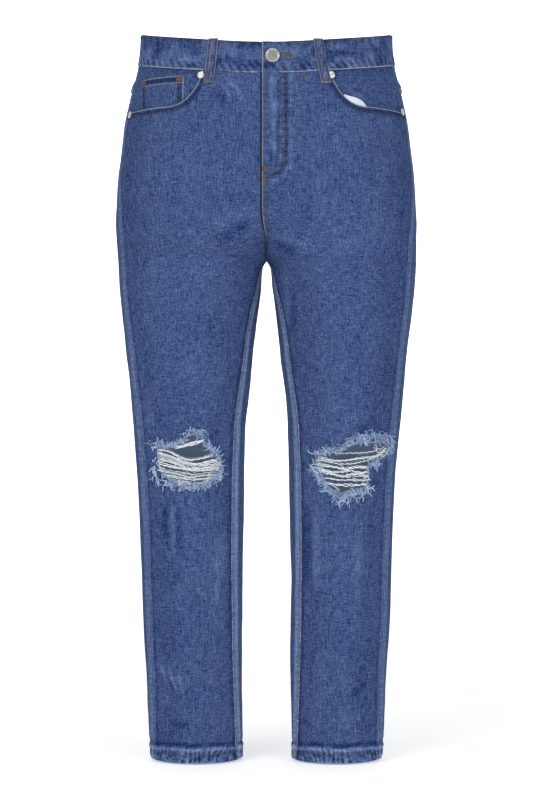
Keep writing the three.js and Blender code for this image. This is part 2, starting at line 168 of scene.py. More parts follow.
def sample(table: Array, column: int, z: Array) -> Array:
    """Smooth value of one column of a station table whose heights run down.

    Args:
        table: Rows of stations, with the height first.
        column: Index of the wanted column.
        z: Heights to read the table at.

    Returns:
        The column's value at each height.
    """
    heights, values = table[:, 0], table[:, column]
    above = np.maximum(0, np.arange(len(table)) - 1)
    below = np.minimum(len(table) - 1, np.arange(len(table)) + 1)
    slopes = (values[below] - values[above]) / (heights[below] - heights[above])
    z = np.clip(z, heights[-1], heights[0])
    i = np.clip(np.searchsorted(-heights, -z, side="right") - 1, 0, len(heights) - 2)
    span = heights[i + 1] - heights[i]
    t = (z - heights[i]) / span
    start = values[i] + slopes[i] * span * t
    end = values[i + 1] - slopes[i + 1] * span * (1.0 - t)
    return lerp(start, end, smooth(t))


def waist_seam(t: Array) -> Array:
    """Height of the waist seam: t is 0 to 1 from the front to the side, and 1 to 2 to the back."""
    front = -FRONT_DROP * (1.0 - np.clip(t, 0.0, 1.0) ** 1.8)
    return SIDE_SEAM_Z + np.where(t < 1.0, front, BACK_RISE * (1.0 - np.clip(2.0 - t, 0.0, 1.0) ** 3))


def yoke_seam(t: Array) -> Array:
    """Height of the yoke's lower seam, 0 to 1 from the side to the centre back."""
    return waist_seam(1.0 + t) - lerp(YOKE_SIDE, YOKE_BACK, t)


def polyline_distance(x: Array, z: Array, points: Sequence[tuple[float, float]]) -> tuple[Array, Array]:
    """Distance from spots to a polyline, and the share of its length at the nearest place.

    Args:
        x: First coordinate of the spots.
        z: Second coordinate of the spots.
        points: Corners of the polyline.

    Returns:
        The distance and the share of each spot.
    """
    corners = np.array(points, float)
    steps = np.linalg.norm(np.diff(corners, axis=0), axis=1)
    total = steps.sum()
    best, share, done = np.full(np.shape(x), np.inf), np.zeros(np.shape(x)), 0.0
    for a, b, step in zip(corners[:-1], corners[1:], steps, strict=True):
        along = ((x - a[0]) * (b[0] - a[0]) + (z - a[1]) * (b[1] - a[1])) / (step * step)
        t = np.clip(along, 0.0, 1.0)
        away = np.hypot(x - a[0] - t * (b[0] - a[0]), z - a[1] - t * (b[1] - a[1]))
        nearer = away < best
        best = np.where(nearer, away, best)
        share = np.where(nearer, (done + t * step) / total, share)
        done += step
    return best, share


def run_along(points: Array) -> Array:
    """Length gone at each point of a line, from 0 at the first."""
    return np.concatenate([[0.0], np.cumsum(np.linalg.norm(np.diff(points, axis=0), axis=1))])


def inside(x: Array, z: Array, outline: Sequence[tuple[float, float]]) -> Array:
    """Whether each spot lies inside a closed outline.

    Args:
        x: First coordinate of the spots.
        z: Second coordinate of the spots.
        outline: Corners of the outline, without the first again at the end.

    Returns:
        True for each spot inside.
    """
    crossings = np.zeros(np.shape(x), int)
    for (x0, z0), (x1, z1) in zip(outline, [*outline[1:], outline[0]], strict=True):
        spans = (z0 > z) != (z1 > z)
        at = x0 + (z - z0) * (x1 - x0) / (z1 - z0 if z1 != z0 else 1.0)
        crossings += spans & (x < at)
    return crossings % 2 == 1


# ---------------------------------------------------------------- the form
class Form:
    """Outer surface of the filled-out garment: one half, as rings read by height and running length."""

    SHARES = 480
    TURNS = 384

    def __init__(self) -> None:
        """Works out the rings once, a millimetre apart."""
        self.z = np.concatenate([
            np.arange(-992.0, CROTCH_Z), [CROTCH_Z, CROTCH_Z + 0.01], np.arange(CROTCH_Z + 1.0, 38.0),
        ])
        turn = np.linspace(0.0, 4.0, self.TURNS + 1)
        x, y, cut = self._sections(self.z[:, None], turn[None, :])
        steps = np.hypot(np.diff(x, axis=1), np.diff(y, axis=1))
        lengths = np.concatenate([np.zeros((len(self.z), 1)), np.cumsum(steps, axis=1)], axis=1)
        self.total = lengths[:, -1]
        shares = np.linspace(0.0, 1.0, self.SHARES + 1)
        self.rings = np.empty((len(self.z), self.SHARES + 1, 2))
        out_turn = 1.0 + np.arcsin(cut["reach"] ** (1.0 / cut["power"])) * 2.0 / math.pi
        in_turn = np.arccos(np.clip(cut["lean"], -1.0, 1.0)) * 2.0 / math.pi
        self.out_at, self.in_at = np.empty(len(self.z)), np.empty(len(self.z))
        for i, row in enumerate(lengths):
            for axis, values in enumerate((x[i], y[i])):
                self.rings[i, :, axis] = np.interp(shares * row[-1], row, values)
            self.out_at[i] = np.interp(out_turn[i, 0], turn, row)
            self.in_at[i] = np.interp(in_turn[i, 0], turn, row)

    @staticmethod
    def _sections(z: Array, turn: Array) -> tuple[Array, Array, dict[str, Array]]:
        """Points of the sections, turn by turn from the inner front end round to the inner back end.

        Args:
            z: Heights, as a column.
            turn: Turns from 0 to 4, as a row.

        Returns:
            x and y of each point, and the figures that place the seams.
        """
        out, apex, front, back, side = (sample(BODY, column, z) for column in range(1, 6))
        power = 2.0 / sample(BODY, 6, z)
        split = z <= CROTCH_Z
        inner = np.where(split, sample(LEG_GAP, 1, z), 0.0)
        rise = np.maximum(0.0, z - CROTCH_Z)
        leg_y = lerp(CROTCH_Y, side, smooth((CROTCH_Z - z) / 130.0))
        seat = lerp(1.005, 0.95, smooth((WAIST_SEAM_Z - z) / 180.0))
        apex = np.where(split, (out + inner) / 2.0, apex)
        cleft = lerp(1.0, 4.0, smooth(rise / 130.0))

        def bow(height: float) -> Array:
            """Share of the way out from the crotch, as a quarter ellipse."""
            return np.sqrt(1.0 - (1.0 - np.clip(rise / height, 0.0, 1.0)) ** 2)

        inner_front = np.where(split, leg_y, lerp(CROTCH_Y, front - 1.0, bow(FRONT_BOW)))
        inner_back = np.where(split, leg_y, lerp(CROTCH_Y, back * seat, bow(BACK_BOW)))
        quarter = np.minimum(3, np.floor(turn))
        angle = (turn - quarter) * math.pi / 2.0
        sin, cos = np.sin(angle), np.maximum(0.0, np.cos(angle))
        x = np.select(
            [quarter == 0, quarter == 1, quarter == 2],
            [lerp(apex, inner, cos), lerp(apex, out, sin**power), lerp(apex, out, cos**power)],
            lerp(apex, inner, sin),
        )
        y = np.select(
            [quarter == 0, quarter == 1, quarter == 2],
            [
                lerp(inner_front, front, sin**cleft),
                lerp(side, front, cos**power),
                lerp(side, back, sin**power),
            ],
            lerp(inner_back, back, cos**cleft),
        )
        reach = (out - sample(OUT_SEAM, 1, z) - apex) / (out - apex)
        lean = 1.0 - sample(IN_SEAM, 1, z) / (apex - inner)
        return x, y, {"reach": reach, "power": power, "lean": lean}

    def ring(self, z: Array) -> Array:
        """Running length of the whole half ring at a height."""
        return np.interp(z, self.z, self.total)

    def out_seam(self, z: Array) -> Array:
        """Running length of the outer seam."""
        return np.interp(z, self.z, self.out_at)

    def inner_edge(self, z: Array, side: int) -> Array:
        """Running length of the front's inner edge: the lapped centre front, then the inseam."""
        lap = -side * FLY_LAP * smooth((z - CROTCH_Z - 3.0) / 60.0)
        return np.where(z > CROTCH_Z, lap, np.interp(z, self.z, self.in_at))

    def points(self, z: Array, s: Array) -> Array:
        """Points of the form, in millimetres.

        Args:
            z: Heights.
            s: Running lengths from the inner front end. Past an end they go on round a leg, or above
                the crotch onto the other half.

        Returns:
            One x, y, z for each pair.
        """
        z, s = np.broadcast_arrays(np.asarray(z, float), np.asarray(s, float))
        i = np.clip(np.searchsorted(self.z, z, side="right") - 1, 0, len(self.z) - 2)
        t = np.clip((z - self.z[i]) / (self.z[i + 1] - self.z[i]), 0.0, 1.0)
        share = s / lerp(self.total[i], self.total[i + 1], t)
        body = z > CROTCH_Z
        crossed = body & ((share < 0.0) | (share > 1.0))
        share = np.where(body, np.where(share < 0.0, -share, np.where(share > 1.0, 2.0 - share, share)),
                         share % 1.0)
        column = np.clip(share * self.SHARES, 0.0, self.SHARES - 1e-9)
        j = column.astype(int)
        w = (column - j)[..., None]
        upper = lerp(self.rings[i + 1, j], self.rings[i + 1, j + 1], w)
        lower = lerp(self.rings[i, j], self.rings[i, j + 1], w)
        flat = lerp(lower, upper, t[..., None])
        x = np.where(crossed, -flat[..., 0], flat[..., 0])
        return np.stack([x, flat[..., 1], z], axis=-1)

    def normals(self, z: Array, s: Array) -> Array:
        """Outward directions of the form.

        Args:
            z: Heights.
            s: Running lengths.

        Returns:
            One unit direction for each pair.
        """
        step = 2.0
        body = z > CROTCH_Z
        upper = np.where(body, z + step, np.minimum(z + step, CROTCH_Z))
        lower = np.where(body, np.maximum(z - step, CROTCH_Z + 0.001), z - step)
        share = s / self.ring(z)
        along = self.points(z, s + step) - self.points(z, s - step)
        down = self.points(lower, share * self.ring(lower)) - self.points(upper, share * self.ring(upper))
        across = np.cross(down, along)
        return across / np.maximum(np.linalg.norm(across, axis=-1, keepdims=True), 1e-9)

    def length_at_x(self, z: Array, x: Array) -> Array:
        """Running lengths of the front's points.

        Args:
            z: Heights.
            x: Distances from the middle, negative past the centre.

        Returns:
            One running length for each pair.
        """
        z, x = np.broadcast_arrays(np.asarray(z, float), np.asarray(x, float))
        found = np.empty(z.size)
        for k, (height, place) in enumerate(zip(z.ravel(), x.ravel(), strict=True)):
            i = int(np.argmin(np.abs(self.z - height)))
            row = self.rings[i, :, 0]
            peak = int(np.argmax(row))
            lengths = np.linspace(0.0, self.total[i], self.SHARES + 1)
            found[k] = np.interp(abs(place), row[: peak + 1], lengths[: peak + 1])
            found[k] = found[k] if place >= 0 else -found[k]
        return found.reshape(z.shape)


# ---------------------------------------------------------------- shading
class Sock:
    """A shader value that adds Math nodes when it is used in an expression."""

    def __init__(self, tree: bpy.types.NodeTree, socket: bpy.types.NodeSocket) -> None:
        """Wraps an output socket of the tree."""
        self.tree, self.socket = tree, socket

    def _math(self, operation: str, *values: "Sock | float") -> "Sock":
        """Adds one Math node.

        Args:
            operation: Name of the node's operation.
            values: Its inputs in order, as values or links.

        Returns:
            The node's result.
        """
        node = self.tree.nodes.new("ShaderNodeMath")
        node.operation = operation
        for socket, value in zip(node.inputs, values, strict=False):
            if isinstance(value, Sock):
                self.tree.links.new(value.socket, socket)
            else:
                socket.default_value = value
        return Sock(self.tree, node.outputs[0])

    def __add__(self, other: "Sock | float") -> "Sock":
        """Sum."""
        return self._math("ADD", self, other)

    def __sub__(self, other: "Sock | float") -> "Sock":
        """Difference."""
        return self._math("SUBTRACT", self, other)

    def __rsub__(self, other: "Sock | float") -> "Sock":
        """Difference from a number."""
        return self._math("SUBTRACT", other, self)

    def __mul__(self, other: "Sock | float") -> "Sock":
        """Product."""
        return self._math("MULTIPLY", self, other)

    __radd__ = __add__
    __rmul__ = __mul__

    def wave(self, length: float) -> "Sock":
        """Sine wave of that length, from -1 to 1."""
        return self._math("SINE", self * (2.0 * math.pi / length))

    def step(self, low: float, high: float) -> "Sock":
        """Soft step that is 0 at low and 1 at high, which may be the smaller of the two."""
        node = self.tree.nodes.new("ShaderNodeMapRange")
        node.interpolation_type = "SMOOTHSTEP"
        self.tree.links.new(self.socket, node.inputs["Value"])
        node.inputs["From Min"].default_value = low
        node.inputs["From Max"].default_value = high
        return Sock(self.tree, node.outputs["Result"])


class Shader:
    """One material with a Principled surface, and short ways to add the nodes that feed it."""

    def __init__(self, name: str) -> None:
        """Starts an empty material of that name."""
        self.material = bpy.data.materials.new(name)
        self.material.use_nodes = True
        self.tree = self.material.node_tree
        self.surface = self.tree.nodes["Principled BSDF"]

    def node(self, kind: str, settings: dict[str, object], sockets: dict[str | int, object],
             output: str | int = 0) -> Sock:
        """Adds any node.

        Args:
            kind: The node's type.
            settings: Its properties, set first.
            sockets: Values or links of its inputs, by name or number.
            output: The wanted output, by name or number.

        Returns:
            The output as a value.
        """
        node = self.tree.nodes.new(kind)
        for key, value in settings.items():
            setattr(node, key, value)
        for key, value in sockets.items():
            if isinstance(value, Sock):
                self.tree.links.new(value.socket, node.inputs[key])
            else:
                node.inputs[key].default_value = value
        return Sock(self.tree, node.outputs[output])

    def attribute(self, name: str) -> Sock:
        """A number painted on the mesh."""
        return self.node("ShaderNodeAttribute", {"attribute_name": name}, {}, "Fac")

    def cut(self, across: float, along: float, turn: float = 0.0) -> Sock:
        """Place on the cut piece, divided by a size across and a size along it, in millimetres."""
        uv = self.node("ShaderNodeUVMap", {"uv_map": "cut"}, {})
        turned = self.node("ShaderNodeMapping", {}, {"Vector": uv, "Rotation": (0.0, 0.0, turn)})
        scale = (1.0 / (across * MM), 1.0 / (along * MM), 1.0)
        return self.node("ShaderNodeMapping", {}, {"Vector": turned, "Scale": scale})

    def lumps(self, across: float, along: float) -> Sock:
        """Place in space, divided by a size across and a size upright, in millimetres."""
        place = self.node("ShaderNodeTexCoord", {}, {}, "Object")
        wide, tall = 1.0 / (across * MM), 1.0 / (along * MM)
        return self.node("ShaderNodeMapping", {}, {"Vector": place, "Scale": (wide, wide, tall)})

    def keep(self, **constants: object) -> None:
        """Sets constants of the surface, with an underscore for each blank in an input's name."""
        for name, value in constants.items():
            self.surface.inputs[name.replace("_", " ")].default_value = value

    def noise(self, vector: Sock, detail: float = 2.0, roughness: float = 0.5) -> Sock:
        """Noise from about 0.3 to 0.7, one lump to a unit."""
        return self.node(
            "ShaderNodeTexNoise", {},
            {"Vector": vector, "Scale": 1.0, "Detail": detail, "Roughness": roughness},
        )

    def mix(self, share: Sock | float, a: object, b: object) -> Sock:
        """Colour between a and b."""
        return self.node("ShaderNodeMix", {"data_type": "RGBA"}, {0: share, 6: a, 7: b}, 2)

    def finish(self, color: object, roughness: Sock | float, relief: Sock | None = None,
               height: float = 0.0) -> bpy.types.Material:
        """Feeds the surface and returns the material.

        Args:
            color: Colour or link for Base Color.
            roughness: Number or link for Roughness.
            relief: Height field for the bump, from about 0 to 1.
            height: Size of that relief in millimetres.

        Returns:
            The finished material.
        """
        for name, value in (("Base Color", color), ("Roughness", roughness)):
            if isinstance(value, Sock):
                self.tree.links.new(value.socket, self.surface.inputs[name])
            else:
                self.surface.inputs[name].default_value = value
        if relief is not None:
            sockets = {"Height": relief, "Distance": height * MM, "Strength": 1.0}
            bump = self.node("ShaderNodeBump", {}, sockets)
            self.tree.links.new(bump.socket, self.surface.inputs["Normal"])
        return self.material


Color = tuple[float, float, float, float]


@dataclass(frozen=True)
class Denim:
    """Washed indigo twill: blue warp over pale weft, rubbed pale on edges and ridges, and darkened with
    painted shade in the grooves beside its stitching.
    """

    name: str = "denim"
    deep: Color = (0.006, 0.024, 0.110, 1.0)
    light: Color = (0.122, 0.183, 0.372, 1.0)
    pale: Color = (0.30, 0.39, 0.60, 1.0)
    rubbed: Color = (0.36, 0.44, 0.58, 1.0)
    # near-black colour of the painted shade in the grooves beside the stitching
    ditch_shade: Color = (0.022, 0.020, 0.027, 1.0)
    base: float = 0.39

    def build(self) -> bpy.types.Material:
        """Makes the material from the painted wear and the weave."""
        shader = Shader(self.name)
        slub = shader.noise(shader.lumps(1.5, 14.0), 2.0, 0.6)
        pick = shader.noise(shader.lumps(8.0, 1.5), 2.0, 0.5)
        speck = shader.noise(shader.lumps(1.7, 1.8), 2.0, 0.8)
        cloud = shader.noise(shader.lumps(46.0, 70.0), 3.0, 0.5)
        twill = shader.node(
            "ShaderNodeTexWave", {"wave_type": "BANDS", "bands_direction": "X"},
            {"Vector": shader.cut(1.0, 1.0, math.radians(-52.0)), "Scale": 0.5, "Distortion": 1.2,
             "Detail": 1.0, "Detail Scale": 1.6},
        )
        fade, rub, ditch = (shader.attribute(name) for name in ("fade", "rub", "ditch"))
        grain = (slub - 0.5) * 1.2 + (pick - 0.5) * 0.95 + (speck - 0.5) * 1.7
        tone = grain + (cloud - 0.5) * 0.16 + (twill - 0.5) * 0.06 + self.base + fade * 0.75
        ragged = rub + (speck - 0.5) * 1.6 + (cloud - 0.5) * 1.2
        line = ragged.step(1.5, 0.35)
        halo = (rub + (pick - 0.5) * 8.0).step(8.0, 0.5) * 0.16
        shade = tone + halo
        blue = shader.mix((shade - 0.8) * 1.1, shader.mix(shade, self.deep, self.light), self.pale)
        # painted shade: the cloth goes near-black close to a groove that the ditch attribute marks
        ditch_shaded = shader.mix(ditch.step(2.4, 0.5) * 0.9, blue, self.ditch_shade)
        worn = shader.mix(line * 0.82, ditch_shaded, self.rubbed)
        relief = twill * 0.5 + slub * 0.5 + speck * 0.6
        shader.keep(Specular_IOR_Level=0.15)
        return shader.finish(worn, 0.93 - line * 0.08, relief, 0.22)


@dataclass(frozen=True)
class Reverse:
    """Inner face of the twill, where the undyed weft shows, with a faint painted glow that stands in for the
    light inside the leg.
    """

    name: str = "denim_reverse"
    inner_glow: Color = (0.62, 0.86, 1.25, 1.0)
    dull: Color = (0.16, 0.20, 0.28, 1.0)
    pale: Color = (0.40, 0.45, 0.54, 1.0)

    def build(self) -> bpy.types.Material:
        """Makes the material."""
        shader = Shader(self.name)
        weft = shader.noise(shader.cut(9.0, 1.1), 3.0, 0.6)
        speck = shader.noise(shader.cut(1.3, 1.3), 2.0, 0.6)
        tone = ((weft - 0.5) * 1.4 + (speck - 0.5) * 1.0 + 0.5).step(0.0, 1.0)
        # painted light: a faint blue glow that brightens the inside of the leg, seen through the tears and
        # the hem
        shader.keep(Specular_IOR_Level=0.15, Emission_Color=self.inner_glow, Emission_Strength=0.055)
        return shader.finish(shader.mix(tone, self.dull, self.pale), 0.95, weft, 0.3)


@dataclass(frozen=True)
class Yarn:
    """Twisted thread, whose tone differs a little from piece to piece."""

    name: str
    dark: Color
    light: Color
    ply: float = 0.9  # millimetres along the thread for each turn of its twist
    roughness: float = 0.85

    def build(self) -> bpy.types.Material:
        """Makes the material."""
        shader = Shader(self.name)
        uv = shader.node("ShaderNodeUVMap", {"uv_map": "cut"}, {})
        place = shader.node("ShaderNodeSeparateXYZ", {}, {"Vector": uv}, "X")
        around = shader.node("ShaderNodeSeparateXYZ", {}, {"Vector": uv}, "Y")
        twist = (place + around * (self.ply * MM)).wave(self.ply * MM) * 0.5 + 0.5
        tone = shader.attribute("tone") * 0.8 + twist * 0.2
        shader.keep(Specular_IOR_Level=0.2)
        return shader.finish(shader.mix(tone, self.dark, self.light), self.roughness, twist, 0.12)


@dataclass(frozen=True)
class Plain:
    """Smooth plain weave, for the pocket bag and the zip's tape."""

    name: str
    low: Color
    high: Color

    def build(self) -> bpy.types.Material:
        """Makes the material."""
        shader = Shader(self.name)
        weave = shader.noise(shader.cut(0.8, 0.8), 2.0, 0.5)
        lumps = shader.noise(shader.cut(9.0, 14.0), 2.0, 0.5)
        tone = ((weave - 0.5) * 1.0 + (lumps - 0.5) * 0.9 + 0.5).step(0.1, 0.9)
        return shader.finish(shader.mix(tone, self.low, self.high), 0.9, weave, 0.1)


@dataclass(frozen=True)
class Nickel:
    """Dull plated metal with fine scratches and tarnish."""

    name: str
    bright: Color
    tarnish: Color
    roughness: float = 0.34

    def build(self) -> bpy.types.Material:
        """Makes the material on Object coordinates."""
        shader = Shader(self.name)
        place = shader.node("ShaderNodeTexCoord", {}, {}, "Object")
        fine = shader.node("ShaderNodeMapping", {}, {"Vector": place, "Scale": (900.0, 900.0, 900.0)})
        broad = shader.node("ShaderNodeMapping", {}, {"Vector": place, "Scale": (260.0, 260.0, 260.0)})
        grain, blotch = shader.noise(fine, 3.0, 0.6), shader.noise(broad, 2.0, 0.5)
        color = shader.mix(blotch.step(0.42, 0.7), self.bright, self.tarnish)
        shader.keep(Metallic=0.9)
        return shader.finish(color, grain * 0.3 + (self.roughness - 0.15), grain, 0.06)


class Finish(Enum):
    """The garment's finishes by name."""

    DENIM = Denim()
    DENIM_PALE = Denim(name="denim_worn", base=0.50, light=(0.17, 0.215, 0.36, 1.0))
    REVERSE = Reverse()
    # the dark end of the bare weft is painted shade: threads that take it read as the shadows between the
    # bundles
    WEFT = Yarn("bare_weft", (0.04, 0.052, 0.07, 1.0), (0.93, 0.98, 1.0, 1.0), ply=1.6)
    FRINGE = Yarn("blue_fringe", (0.06, 0.11, 0.27, 1.0), (0.56, 0.70, 0.95, 1.0), ply=1.8)
    TOPSTITCH = Yarn("topstitch", (0.020, 0.017, 0.022, 1.0), (0.22, 0.15, 0.09, 1.0))
    PALE_STITCH = Yarn("pale_stitch", (0.10, 0.13, 0.22, 1.0), (0.62, 0.66, 0.74, 1.0))
    BAR_TACK = Yarn("bar_tack", (0.075, 0.048, 0.032, 1.0), (0.30, 0.19, 0.10, 1.0))
    POCKETING = Plain("pocketing", (0.60, 0.66, 0.76, 1.0), (0.82, 0.86, 0.92, 1.0))
    TAPE = Plain("zip_tape", (0.014, 0.018, 0.035, 1.0), (0.035, 0.045, 0.075, 1.0))
    RIVET = Nickel("bright_nickel", (0.80, 0.80, 0.79, 1.0), (0.52, 0.51, 0.49, 1.0), 0.36)
    BUTTON = Nickel("aged_nickel", (0.50, 0.50, 0.48, 1.0), (0.36, 0.36, 0.34, 1.0), 0.36)


MATERIALS: dict[Finish, bpy.types.Material] = {}


def material(finish: Finish) -> bpy.types.Material:
    """The finish's material, made the first time it is asked for."""
    if finish not in MATERIALS:
        MATERIALS[finish] = finish.value.build()
    return MATERIALS[finish]


# ---------------------------------------------------------------- meshes
def poured(name: str, built: bmesh.types.BMesh) -> bpy.types.Mesh:
    """Mesh of that name from a finished bmesh, which is freed."""
    mesh = bpy.data.meshes.new(name)
    built.to_mesh(mesh)
    built.free()
    return mesh


def as_object(name: str, mesh: bpy.types.Mesh, finishes: Sequence[Finish]) -> bpy.types.Object:
    """Object at the origin from a finished mesh, dressed and riding on the body.

    Args:
        name: The piece's name.
        mesh: Its mesh, in metres.
        finishes: Its finishes, in the order of its material numbers.

    Returns:
        The new piece.
    """
    mesh.name = name
    for finish in finishes:
        mesh.materials.append(material(finish))
    mesh.shade_smooth()
    piece = bpy.data.objects.new(name, mesh)
    bpy.context.scene.collection.objects.link(piece)
    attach(piece, "root")
    return piece


def paint(mesh: bpy.types.Mesh, name: str, values: Array) -> None:
    """Writes one number for each vertex."""
    layer = mesh.attributes.new(name, "FLOAT", "POINT")
    layer.data.foreach_set("value", np.asarray(values, np.float32).ravel())


def lay_flat(mesh: bpy.types.Mesh, places: Array) -> None:
    """Writes the cut's own coordinates, in metres, as the UV map.

    Args:
        mesh: The mesh.
        places: Two coordinates for each vertex.
    """
    corners = np.empty(len(mesh.loops), np.int32)
    mesh.loops.foreach_get("vertex_index", corners)
    layer = mesh.uv_layers.new(name="cut")
    layer.uv.foreach_set("vector", places[corners].astype(np.float32).ravel())


@dataclass(frozen=True)
class Crease:
    """A soft trough or ridge along a polyline in x and z."""

    points: tuple[tuple[float, float], ...]
    depth: float  # millimetres outwards, so a trough is negative
    width: float
    fade: float = 0.27  # paleness for each millimetre of depth: rubbed pale on a ridge, painted shade in a trough

    def height(self, x: Array, z: Array) -> Array:
        """How far it lifts the cloth at each spot."""
        away, share = polyline_distance(x, z, self.points)
        ends = smooth(np.minimum(share, 1.0 - share) / 0.3)
        return self.depth * hump(away, self.width) * ends


@dataclass
class Spot:
    """Places on a piece: height, running length and x on the form."""

    z: Array
    s: Array
    x: Array


@dataclass
class Wear:
    """What is painted on a piece: paleness, which also carries painted shade, distance from a rubbed edge,
    and distance from a groove that is darkened with painted shade.
    """

    fade: Array
    rub: Array
    # distance from a groove beside the stitching, where painted shade darkens the cloth
    ditch: Array


FAR = 99.0


@dataclass
class Cloth:
    """One cut piece laid on the form. Pieces of the wearer's right are made on the left and mirrored."""

    form: Form
    name: str
    side: int = 1
    columns: int = 40
    rows: int = 40
    thick: float = CLOTH
    creases: tuple[Crease, ...] = ()
    finish: Finish = Finish.DENIM
    seed: int = 1
    holes: tuple[tuple[tuple[float, float], ...], ...] = ()
    backward: bool = False  # whether its columns run against the running length
    piece: bpy.types.Object | None = field(default=None, init=False)

    def place(self, u: Array, v: Array) -> tuple[Array, Array]:
        """Height and running length at shares across and down the piece."""
        raise NotImplementedError

    def lift(self, spot: Spot) -> Array:
        """How far the outer face stands out from the form."""
        raise NotImplementedError

    def wear(self, spot: Spot) -> Wear:
        """What is painted at each spot."""
        away = np.full(np.shape(spot.z), FAR)
        return Wear(np.zeros_like(away), away, away)

    def row_shares(self) -> Array:
        """Shares down the piece at which its rows lie."""
        return np.linspace(0.0, 1.0, self.rows + 1)

    def keep(self, x: Array, z: Array) -> Array:
        """Whether cloth is left at each spot."""
        kept = np.ones(np.shape(x), bool)
        for outline in self.holes:
            kept &= ~inside(x, z, outline)
        return kept

    def edges(self) -> list[Sequence[tuple[float, float]]]:
        """Closed or open lines in x and z that the cut edges follow."""
        return [[*outline, outline[0]] for outline in self.holes]

    def spot(self, z: Array, s: Array) -> Spot:
        """Gathers the figures of some places."""
        z, s = np.broadcast_arrays(np.asarray(z, float), np.asarray(s, float))
        return Spot(z, s, self.form.points(z, self.folded(z, s))[..., 0])

    def folded(self, z: Array, s: Array) -> Array:
        """Running length that the form can read."""
        return s

    def creased(self, spot: Spot) -> Array:
        """Sum of the listed creases."""
        return sum((crease.height(spot.x, spot.z) for crease in self.creases), np.zeros_like(spot.z))

    def crease_wear_and_shade(self, spot: Spot) -> Array:
        """Paleness rubbed into the ridges of the listed creases, and painted shade in their troughs."""
        # rubbed paleness on the ridges and painted shade in the troughs
        rubbed = (crease.fade * crease.height(spot.x, spot.z) for crease in self.creases)
        return sum(rubbed, np.zeros_like(spot.z))

    def on_surface(self, z: Array, s: Array, above: float = 0.0) -> tuple[Array, Array]:
        """Points on the outer face and the outward directions there, in millimetres.

        Args:
            z: Heights.
            s: Running lengths.
            above: How far out from the face.

        Returns:
            The points and the directions, on the piece's own side.
        """
        read = self.folded(z, s)
        normal = self.form.normals(z, read)
        lift = self.lift(self.spot(z, s)) + above
        point = self.form.points(z, read) + normal * lift[..., None]
        flip = np.array([self.side, 1.0, 1.0])
        return point * flip, normal * flip

    def _snapped(self, spot: Spot, loose: Array) -> tuple[Array, Array]:
        """Moves the loose vertices onto the nearest cut edge.

        Args:
            spot: All vertices.
            loose: Which of them lie on a cut edge.

        Returns:
            Heights and running lengths of all vertices.
        """
        z, s = spot.z.copy(), spot.s.copy()
        for k in np.flatnonzero(loose):
            best = (FAR, spot.x[k], spot.z[k])
            for line in self.edges():
                corners = np.array(line, float)
                a, b = corners[:-1], corners[1:]
                along = b - a
                t = ((spot.x[k] - a[:, 0]) * along[:, 0] + (spot.z[k] - a[:, 1]) * along[:, 1])
                t = np.clip(t / (along**2).sum(1), 0.0, 1.0)
                near = a + along * t[:, None]
                away = np.hypot(near[:, 0] - spot.x[k], near[:, 1] - spot.z[k])
                i = int(away.argmin())
                if away[i] < best[0]:
                    best = (float(away[i]), float(near[i, 0]), float(near[i, 1]))
            z[k] = best[2]
            s[k] += self.form.length_at_x(best[2], best[1]) - self.form.length_at_x(spot.z[k], spot.x[k])
        return z, s

    def build(self, *nodes: str, slot: str = "denim") -> bpy.types.Object:
        """Args:
            nodes: CAD nodes that it stands for.
            slot: Not used.

        Returns:
            The piece, with its wall still a modifier.
        """
        grid = bmesh.new()
        bmesh.ops.create_grid(grid, x_segments=self.columns, y_segments=self.rows, size=1.0)
        u = np.tile(np.linspace(0.0, 1.0, self.columns + 1), self.rows + 1)
        v = np.repeat(self.row_shares(), self.columns + 1)
        z, s = self.place(u, v)
        spot = self.spot(z, s)
        self._measure(spot)
        if self.edges():
            corner = np.array([[vert.index for vert in face.verts] for face in grid.faces])
            kept = self.keep(spot.x[corner].mean(1), spot.z[corner].mean(1))
            gone = np.zeros(len(spot.x), bool)
            held = np.zeros(len(spot.x), bool)
            gone[corner[~kept]] = True
            held[corner[kept]] = True
            z, s = self._snapped(spot, gone & held)
            spot = self.spot(z, s)
            faces = list(grid.faces)
            bmesh.ops.delete(grid, geom=[faces[i] for i in np.flatnonzero(~kept)], context="FACES_ONLY")
        if self.side > 0 and not self.backward:
            bmesh.ops.reverse_faces(grid, faces=grid.faces)
        mesh = poured(self.name, grid)
        point, _ = self.on_surface(spot.z, spot.s)
        mesh.vertices.foreach_set("co", (point * MM).astype(np.float32).ravel())
        lay_flat(mesh, np.stack([spot.s * self.side, spot.z], axis=1) * MM)
        worn = self.wear(spot)
        for name, values in (("fade", worn.fade), ("rub", worn.rub), ("ditch", worn.ditch)):
            paint(mesh, name, values)
        self._tidy(mesh)
        self.piece = as_object(self.name, mesh, [self.finish, Finish.REVERSE])
        wall = self.piece.modifiers.new("wall", "SOLIDIFY")
        wall.thickness = self.thick * MM
        wall.offset = -1.0
        wall.material_offset = 1
        wall.material_offset_rim = 0
        if nodes:
            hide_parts(*nodes)
        log.info("%s: %d faces", self.name, len(mesh.polygons))
        return self.piece

    @staticmethod
    def _tidy(mesh: bpy.types.Mesh) -> None:
        """Takes out the vertices that no face uses."""
        loose = bmesh.new()
        loose.from_mesh(mesh)
        bare = [vert for vert in loose.verts if not vert.link_faces]
        bmesh.ops.delete(loose, geom=bare, context="VERTS")
        loose.to_mesh(mesh)
        loose.free()

